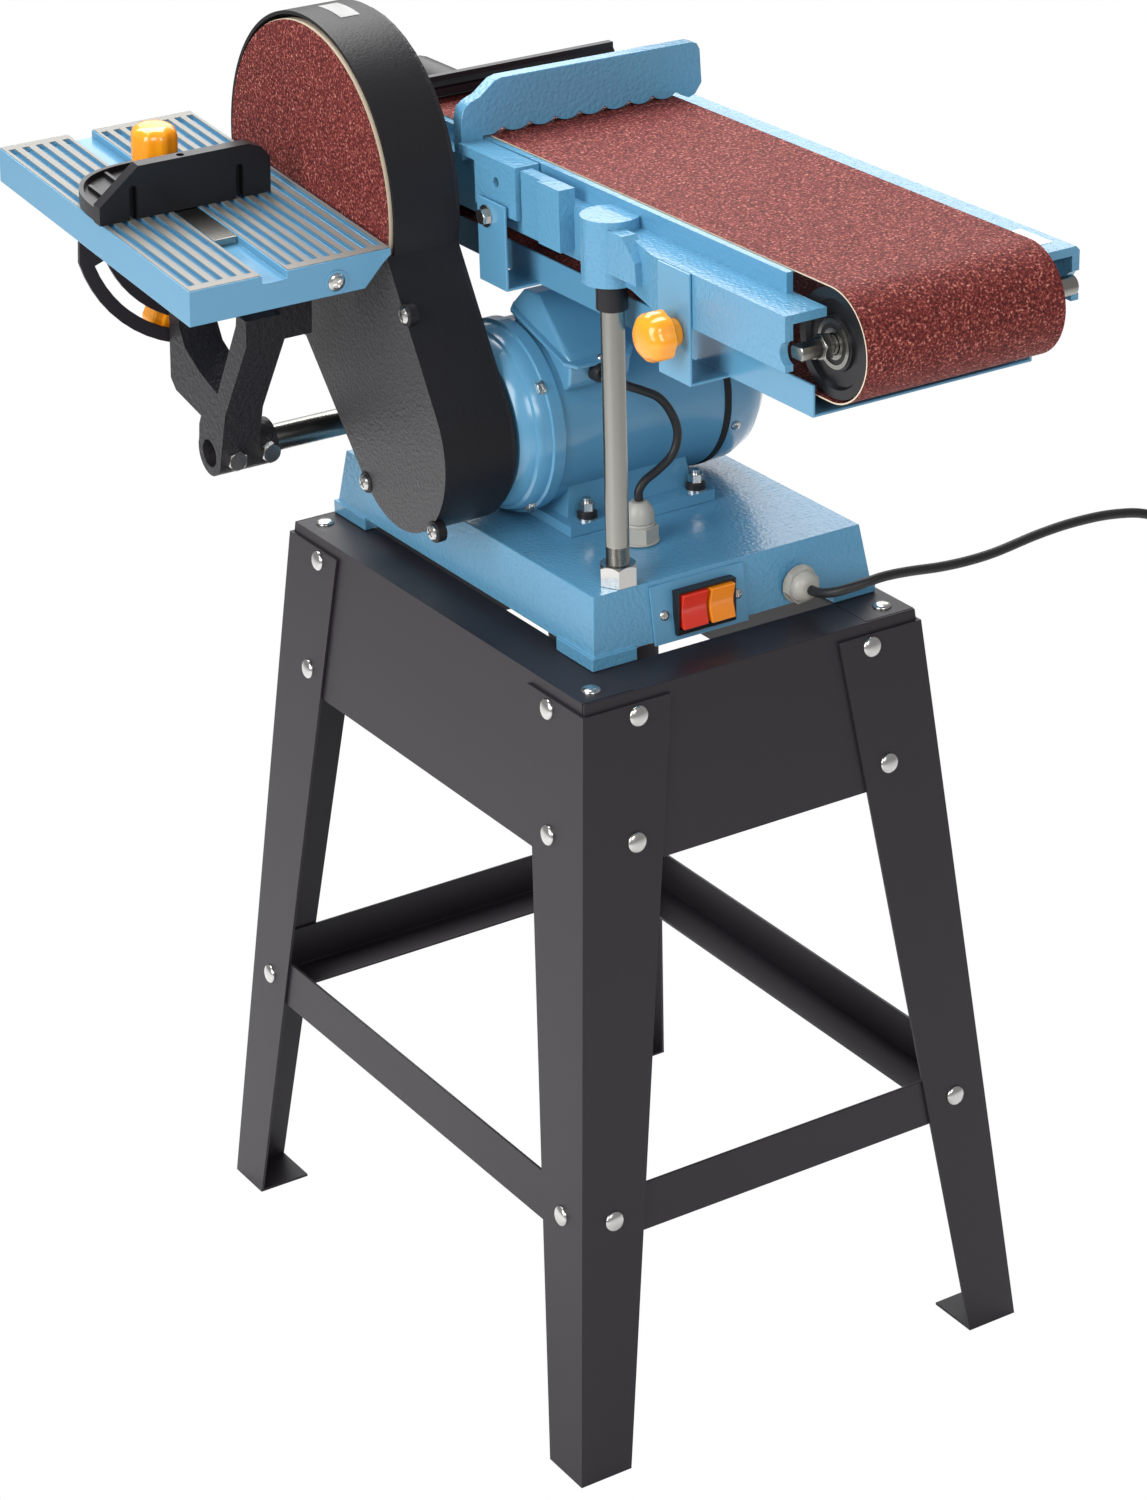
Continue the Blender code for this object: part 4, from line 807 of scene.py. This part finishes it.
# ---------------------------------------------------------------- disc table
def make_table():
    low, high = TABLE_LENGTH_Y
    x0, x1 = TABLE_X
    top = TABLE_TOP_Z
    under = top - 0.0256
    outline = [(top - 0.0004, x0), (top - 0.0004, x1), (top - 0.005, x1), (top - 0.010, x1 - 0.006),
               (under, x1 - 0.020), (under, x0)]
    made = object_of("table_look", prism("Y", outline, low, high), AT_TABLE)
    skirt, plate = 0.0055, 0.008
    hollow = box((x0 + skirt, low + skirt, under - 0.01), (x1 - 0.024, high - skirt, top - plate))
    boolean(made, hollow, AT_TABLE)
    left, right = SLOT_X - SLOT_HALF, SLOT_X + SLOT_HALF
    boolean(made, box((left, low - 0.01, top - SLOT_DEPTH), (right, high + 0.01, top + 0.01)), AT_TABLE)
    lands = []
    grooves = []
    groove, margin = 0.0052, 0.0010
    for a, b, count in ((x0 + margin, left - margin, 5), (right + margin, x1 - margin, 8)):
        pitch = (b - a) / count
        edges = [a]
        for i in range(count):
            middle = a + pitch * (i + 0.5)
            edges += [middle - groove / 2, middle + groove / 2]
            grooves.append(box((middle - groove / 2, low + 0.0085, top - 0.0034),
                               (middle + groove / 2, high - 0.0085, top + 0.01)))
        edges.append(b)
        for i in range(0, len(edges), 2):
            lands.append(box((edges[i], low + margin, top - 0.0008), (edges[i + 1], high - margin, top)))
        for y0, y1 in ((low + margin, low + 0.0085), (high - 0.0085, high - margin)):
            lands.append(box((a, y0, top - 0.0008), (b, y1, top - 0.00003)))
    boolean(made, joined(*grooves), AT_TABLE)
    finish(made, smooth_blue, "table", ("disc_table",), 0.0006, 2, 30)
    show("table_lands", joined(*lands), land_metal, "table", place=AT_TABLE)
    spot = AT_TABLE @ Vector((x1 - 0.0425, low, top - 0.0160))
    outward = AT_TABLE.to_3x3() @ Vector((0, -1, 0))
    fasteners("table_screw", [put(cross_screw(0.0062, 0.0022), spot, outward, 0.5)], "table")
    show("table_screw_ring", put(washer(0.0084, 0.0066, 0.0009), spot, outward), smooth_blue, "table",
         place=AS_IS)


def make_table_support():
    remake("rod_pedestal", rough_iron, "root", 0.0015)
    low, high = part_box("table_rod")
    start, end = low.x - MACHINE.x, high.x - MACHINE.x
    profile = [(start, 0), (start, 0.0090), (start + 0.0008, 0.0098), (end, 0.0098), (end, 0)]
    show("table_rod_look", turned("X", ROD, profile, 64), steel, "rod", ("table_rod",))
    remake("table_bracket", rough_iron, "bracket", 0.0022, 3, 35)
    heads = []
    for x in (-0.2105, -0.1835):
        spot, normal = surface_point("table_bracket", (x, -0.15, 0.0), (0, 1, 0), AT_TABLE)
        heads.append(put(hex_bolt(0.0135, 0.0), spot, normal, 0.3))
    fasteners("bracket_bolts", heads, "bracket")
    remake("trunnion", satin_steel, "table", 0.0004)
    remake("pivot_tab", satin_steel, "table", 0.0004)
    centre = (PIVOT_Z + LOCK_R * sin(LOCK_ANGLE), PIVOT_X + LOCK_R * cos(LOCK_ANGLE))
    profile = [(0.0583, 0), (0.0583, 0.0035), (0.0640, 0.0035), (0.0640, 0.0090), (0.0680, 0.0090),
               (0.0686, 0.0150), (0.0700, 0.0165), (0.0850, 0.0158), (0.0880, 0.0135), (0.0890, 0.0105),
               (0.0900, 0.0090), (0.0900, 0)]
    show("lock_knob_look", fluted("Y", centre, profile), orange, "lock_screw", ("lock_knob",), 0.0, 2, 32,
         AT_TABLE)


def half_moon(reach_x, reach_y, steps=48):
    """The rounded back of the mitre gauge, a little squarer than a half circle."""
    points = []
    for step in range(steps + 1):
        a = pi * step / steps
        across, back = cos(a), sin(a)
        side = 1 if across > 0 else -1
        points.append((SLOT_X + side * reach_x * abs(across) ** 0.75, 0.0100 + reach_y * back ** 0.75))
    return points


def make_mitre_gauge():
    remake("miter_bar", steel, "miter_slide", 0.0005, 2, 38)
    low = TABLE_TOP_Z + 0.0003
    high = low + 0.0380
    face = [(low, -0.3000), (low, -0.1690), (high - 0.0120, -0.1690), (high - 0.0040, -0.1760),
            (high, -0.1860), (high, -0.2700), (low + 0.0130, -0.3000)]
    head = object_of("miter_head_look", prism("Y", face, 0.0020, 0.0110), AT_TABLE)
    for x in (-0.2745, -0.1930):
        boolean(head, box((x - 0.0030, -0.01, low - 0.01), (x + 0.0030, 0.0080, low + 0.0215)), AT_TABLE)
        boolean(head, rod("Y", (low + 0.0215, x), 0.0030, -0.01, 0.0080, 24), AT_TABLE)
    boolean(head, rod("Z", (-0.2360, 0.0065), 0.0028, high - 0.01, high + 0.01, 24), AT_TABLE)
    boolean(head, prism("Z", half_moon(0.0645, 0.0660), low + 0.0001, low + 0.0100), AT_TABLE, "UNION")
    boolean(head, prism("Z", half_moon(0.0615, 0.0630)[2:-2], low + 0.0060, low + 0.0110), AT_TABLE)
    finish(head, plastic_black, "miter_head_turn", ("miter_head",), 0.0008, 2, 30)
    boss = rod("Z", (SLOT_X, MITER_KNOB_Y), 0.0130, low + 0.001, low + 0.0098, 48)
    ribs = [box((SLOT_X + x - 0.0012, 0.0080, low + 0.001),
                (SLOT_X + x + 0.0012, 0.0085 + reach, low + 0.0088))
            for x, reach in ((-0.048, 0.044), (-0.028, 0.060), (0.028, 0.060), (0.048, 0.044))]
    show("miter_ribs", joined(boss, *ribs), plastic_black, "miter_head_turn", (), 0.0, 2, 30, AT_TABLE)
    start = low + 0.0103
    steps = ((0, 0), (0, 0.0095), (0.006, 0.0095), (0.0066, 0.0150), (0.0082, 0.0165), (0.0280, 0.0165),
             (0.0315, 0.0152), (0.0338, 0.0122), (0.0350, 0.0085), (0.0350, 0))
    profile = [(start + along, r) for along, r in steps]
    show("miter_knob_look", fluted("Z", (SLOT_X, MITER_KNOB_Y), profile), orange, "miter_knob_turn",
         ("miter_knob",), 0.0, 2, 32, AT_TABLE)


# ---------------------------------------------------------------- cords
def smooth_line(route, spacing):
    """Even points along a smooth curve (centripetal Catmull-Rom) through the route's own points."""
    points = [Vector(p) for p in route]
    points = [2 * points[0] - points[1]] + points + [2 * points[-1] - points[-2]]
    fine = []
    for a, b, c, d in zip(points, points[1:], points[2:], points[3:]):
        t1 = (b - a).length ** 0.5
        t2 = t1 + (c - b).length ** 0.5
        t3 = t2 + (d - c).length ** 0.5
        for i in range(24):
            t = t1 + (t2 - t1) * i / 24
            ab = a * (t1 - t) / t1 + b * t / t1
            bc = b * (t2 - t) / (t2 - t1) + c * (t - t1) / (t2 - t1)
            cd = c * (t3 - t) / (t3 - t2) + d * (t - t2) / (t3 - t2)
            abc = ab * (t2 - t) / t2 + bc * t / t2
            bcd = bc * (t3 - t) / (t3 - t1) + cd * (t - t1) / (t3 - t1)
            fine.append(abc * (t2 - t) / (t2 - t1) + bcd * (t - t1) / (t2 - t1))
    fine.append(points[-2])
    total = sum((q - p).length for p, q in zip(fine, fine[1:]))
    count = max(2, round(total / spacing))
    even, walked, target = [fine[0]], 0.0, total / count
    for p, q in zip(fine, fine[1:]):
        step = (q - p).length
        while walked + step >= target - 1e-9 and len(even) < count:
            even.append(p.lerp(q, (target - walked) / step))
            target += total / count
        walked += step
    even.append(fine[-1])
    return even, total


def cord_curve(name, points, diameter, look, body, stands_for):
    curve = bpy.data.curves.new(name, "CURVE")
    curve.dimensions = "3D"
    curve.bevel_depth = diameter / 2
    curve.bevel_resolution = 4
    curve.use_fill_caps = True
    spline = curve.splines.new("POLY")
    spline.points.add(len(points) - 1)
    for target, point in zip(spline.points, points):
        target.co = (*(MACHINE + point), 1)
    spline.use_smooth = True
    curve.materials.append(look)
    made = bpy.data.objects.new(name, curve)
    bpy.context.scene.collection.objects.link(made)
    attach(made, body)
    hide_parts(*stands_for)
    return made


def mains_route():
    floor = CORD_D / 2
    cx, cy = COIL_MIDDLE
    landing = cy - COIL_R - 0.0036 - floor - 0.0004
    bend, fall_x = 0.034, 0.3950
    route = [CORD_EXIT, (0.0670, -0.1735, 0.5920), (0.0680, -0.1815, 0.5932), (0.0722, -0.1905, 0.5960),
             (0.0800, -0.1975, 0.5995), (0.0905, -0.2018, 0.6025), (0.1040, -0.2030, 0.6038),
             (0.1270, -0.2000, 0.6008), (0.1560, -0.2000, 0.5972), (0.1800, -0.2000, 0.5958),
             (0.2030, -0.2000, 0.5963), (0.2420, -0.2000, 0.6007), (0.2730, -0.2000, 0.6020),
             (0.3100, -0.2000, 0.5995), (0.3410, -0.2010, 0.5922), (0.3650, -0.2070, 0.5780),
             (0.3830, -0.2170, 0.5530), (0.3920, -0.2300, 0.5150), (fall_x, -0.2440, 0.4600),
             (fall_x, -0.2600, 0.3700), (fall_x, -0.2710, 0.2700), (fall_x, landing, 0.1700),
             (fall_x, landing, 0.0900), (fall_x, landing, floor + bend)]
    for step in range(1, 7):
        a = radians(15 * step)
        route.append((fall_x + bend * (1 - cos(a)), landing, floor + bend * (1 - sin(a))))
    turns = 3.25
    steps = int(turns * 24)
    for i in range(1, steps + 1):
        t = i / 24
        r = COIL_R + (cy - landing - COIL_R) * max(0.0, 1 - t / 0.4) ** 2
        z = floor + 0.0073 * max(0.0, t - 0.35)
        a = -pi / 2 + 2 * pi * t
        route.append((cx + r * cos(a), cy + r * sin(a), z))
    for y, z in ((0.010, 0.0228), (0.020, 0.0183), (0.030, 0.0138), (0.040, 0.0120)):
        route.append((cx + COIL_R, cy + y, z))
    return route


def make_cords():
    line, total = smooth_line(mains_route(), 0.006)
    cord = cord_curve("mains_cord_look", line, CORD_D, rubber, "root", ("mains_cord", "mains_coil"))
    x, y = COIL_MIDDLE[0] + COIL_R, COIL_MIDDLE[1]
    body = box((x - 0.0140, y + 0.0610, 0.0004), (x + 0.0140, y + 0.0970, 0.0240))
    show("plug_look", body, rubber, "root", ("plug",), 0.0050, 4, 38)
    nose = [(y + 0.0400, 0), (y + 0.0400, 0.0045), (y + 0.0480, 0.0058), (y + 0.0560, 0.0078),
            (y + 0.0620, 0.0092), (y + 0.0620, 0)]
    show("plug_nose", turned("Y", (0.0120, x), nose, 32), rubber, "root")
    pins = [box((pin - 0.0009, y + 0.0960, 0.0085), (pin + 0.0009, y + 0.1155, 0.0155))
            for pin in (x - 0.0065, x + 0.0065)]
    show("plug_pins", joined(*pins), steel, "root", (), 0.0003)
    return cord, total


def make_lead():
    lead = [(-0.0270, -0.0544, 0.7370), (-0.0270, -0.0600, 0.7370), (-0.0255, -0.0690, 0.7355),
            (-0.0190, -0.0780, 0.7320), (-0.0100, -0.0830, 0.7280), (0.0000, -0.0850, 0.7220),
            (0.0100, -0.0855, 0.7090), (0.0155, -0.0855, 0.6920), (0.0110, -0.0855, 0.6780),
            (-0.0010, -0.0850, 0.6690), (-0.0125, -0.0850, 0.6630), (-0.0170, -0.0850, 0.6570),
            (-0.0170, -0.0850, BASE_TOP + 0.0306)]
    line, _ = smooth_line(lead, 0.003)
    cord_curve("motor_lead_look", line, 0.0062, rubber, "root", ("motor_lead",))


# ---------------------------------------------------------------- camera, light, floor
def make_camera():
    data = bpy.data.cameras.new("camera")
    data.lens = LENS
    data.sensor_width = 36
    yaw, pitch, roll = CAMERA_TURN
    back = Vector((sin(yaw) * cos(pitch), -cos(yaw) * cos(pitch), sin(pitch)))
    right = Vector((cos(yaw), sin(yaw), 0))
    up = back.cross(right)
    r = cos(roll) * right + sin(roll) * up
    u = -sin(roll) * right + cos(roll) * up
    camera = bpy.data.objects.new("camera", data)
    bpy.context.scene.collection.objects.link(camera)
    turning = Matrix((r, u, back)).transposed().to_4x4()
    camera.matrix_world = Matrix.Translation(CAMERA_PLACE) @ turning
    bpy.context.scene.camera = camera


def area_light(name, place, aim, size, power):
    data = bpy.data.lights.new(name, "AREA")
    data.shape = "RECTANGLE"
    data.size, data.size_y = size
    data.energy = power
    made = bpy.data.objects.new(name, data)
    bpy.context.scene.collection.objects.link(made)
    back = (Vector(place) - Vector(aim)).normalized()
    made.matrix_world = Matrix.Translation(place) @ back.to_track_quat("Z", "Y").to_matrix().to_4x4()
    return made


def make_light():
    world = bpy.data.worlds.new("white")
    bpy.context.scene.world = world
    world.use_nodes = True
    tree = world.node_tree
    tree.nodes["Background"].inputs["Color"].default_value = (1, 1, 1, 1)
    tree.nodes["Background"].inputs["Strength"].default_value = 0.36
    seen = tree.nodes.new("ShaderNodeBackground")
    seen.inputs["Color"].default_value = (1, 1, 1, 1)
    seen.inputs["Strength"].default_value = 1.0
    path = tree.nodes.new("ShaderNodeLightPath")
    mix = tree.nodes.new("ShaderNodeMixShader")
    tree.links.new(path.outputs["Is Camera Ray"], mix.inputs["Fac"])
    tree.links.new(tree.nodes["Background"].outputs["Background"], mix.inputs[1])
    tree.links.new(seen.outputs["Background"], mix.inputs[2])
    tree.links.new(mix.outputs["Shader"], tree.nodes["World Output"].inputs["Surface"])
    area_light("left", (-2.3, -0.5, 1.7), (0, 0, 0.6), (1.4, 1.6), 50)
    area_light("top", (0.1, 1.1, 2.6), (0, 0, 0.7), (1.8, 1.4), 66)
    sheen = area_light("sheen", (1.35, 2.15, 2.0), (0, 0, 0.7), (2.4, 1.3), 20)
    sheen.visible_camera = False
    area_light("front", (-0.6, -2.4, 1.9), (0, 0, 0.6), (1.0, 1.0), 21)
    view = bpy.context.scene.view_settings
    view.view_transform = "Standard"
    view.look = "None"


def make_floor():
    bm = bmesh.new()
    size = 6.0
    corners = ((-size, -size), (size, -size), (size, size), (-size, size))
    bm.faces.new([bm.verts.new((x, y, 0)) for x, y in corners])
    floor = object_of("floor", bm, Matrix.Translation((0, 0, -0.0005)))
    look = node_material("floor_white", (0.85, 0.85, 0.85), 0.9)
    tree = look.node_tree
    plain = tree.nodes.new("ShaderNodeEmission")
    plain.inputs["Strength"].default_value = 1.0
    path = tree.nodes.new("ShaderNodeLightPath")
    mix = tree.nodes.new("ShaderNodeMixShader")
    tree.links.new(path.outputs["Is Camera Ray"], mix.inputs["Fac"])
    tree.links.new(tree.nodes["Principled BSDF"].outputs["BSDF"], mix.inputs[1])
    tree.links.new(plain.outputs["Emission"], mix.inputs[2])
    tree.links.new(mix.outputs["Shader"], tree.nodes["Material Output"].inputs["Surface"])
    floor.data.materials.append(look)


make_camera()
make_light()
make_floor()
mains, mains_length = make_cords()
make_lead()
make_stand()
make_base()
make_glands()
make_motor()
make_cover()
make_disc()
make_drive()
make_belt()
make_idler()
make_rails()
make_rear_cover()
make_fence()
make_arm_fasteners()
make_knobs()
make_post()
make_table()
make_table_support()
make_mitre_gauge()
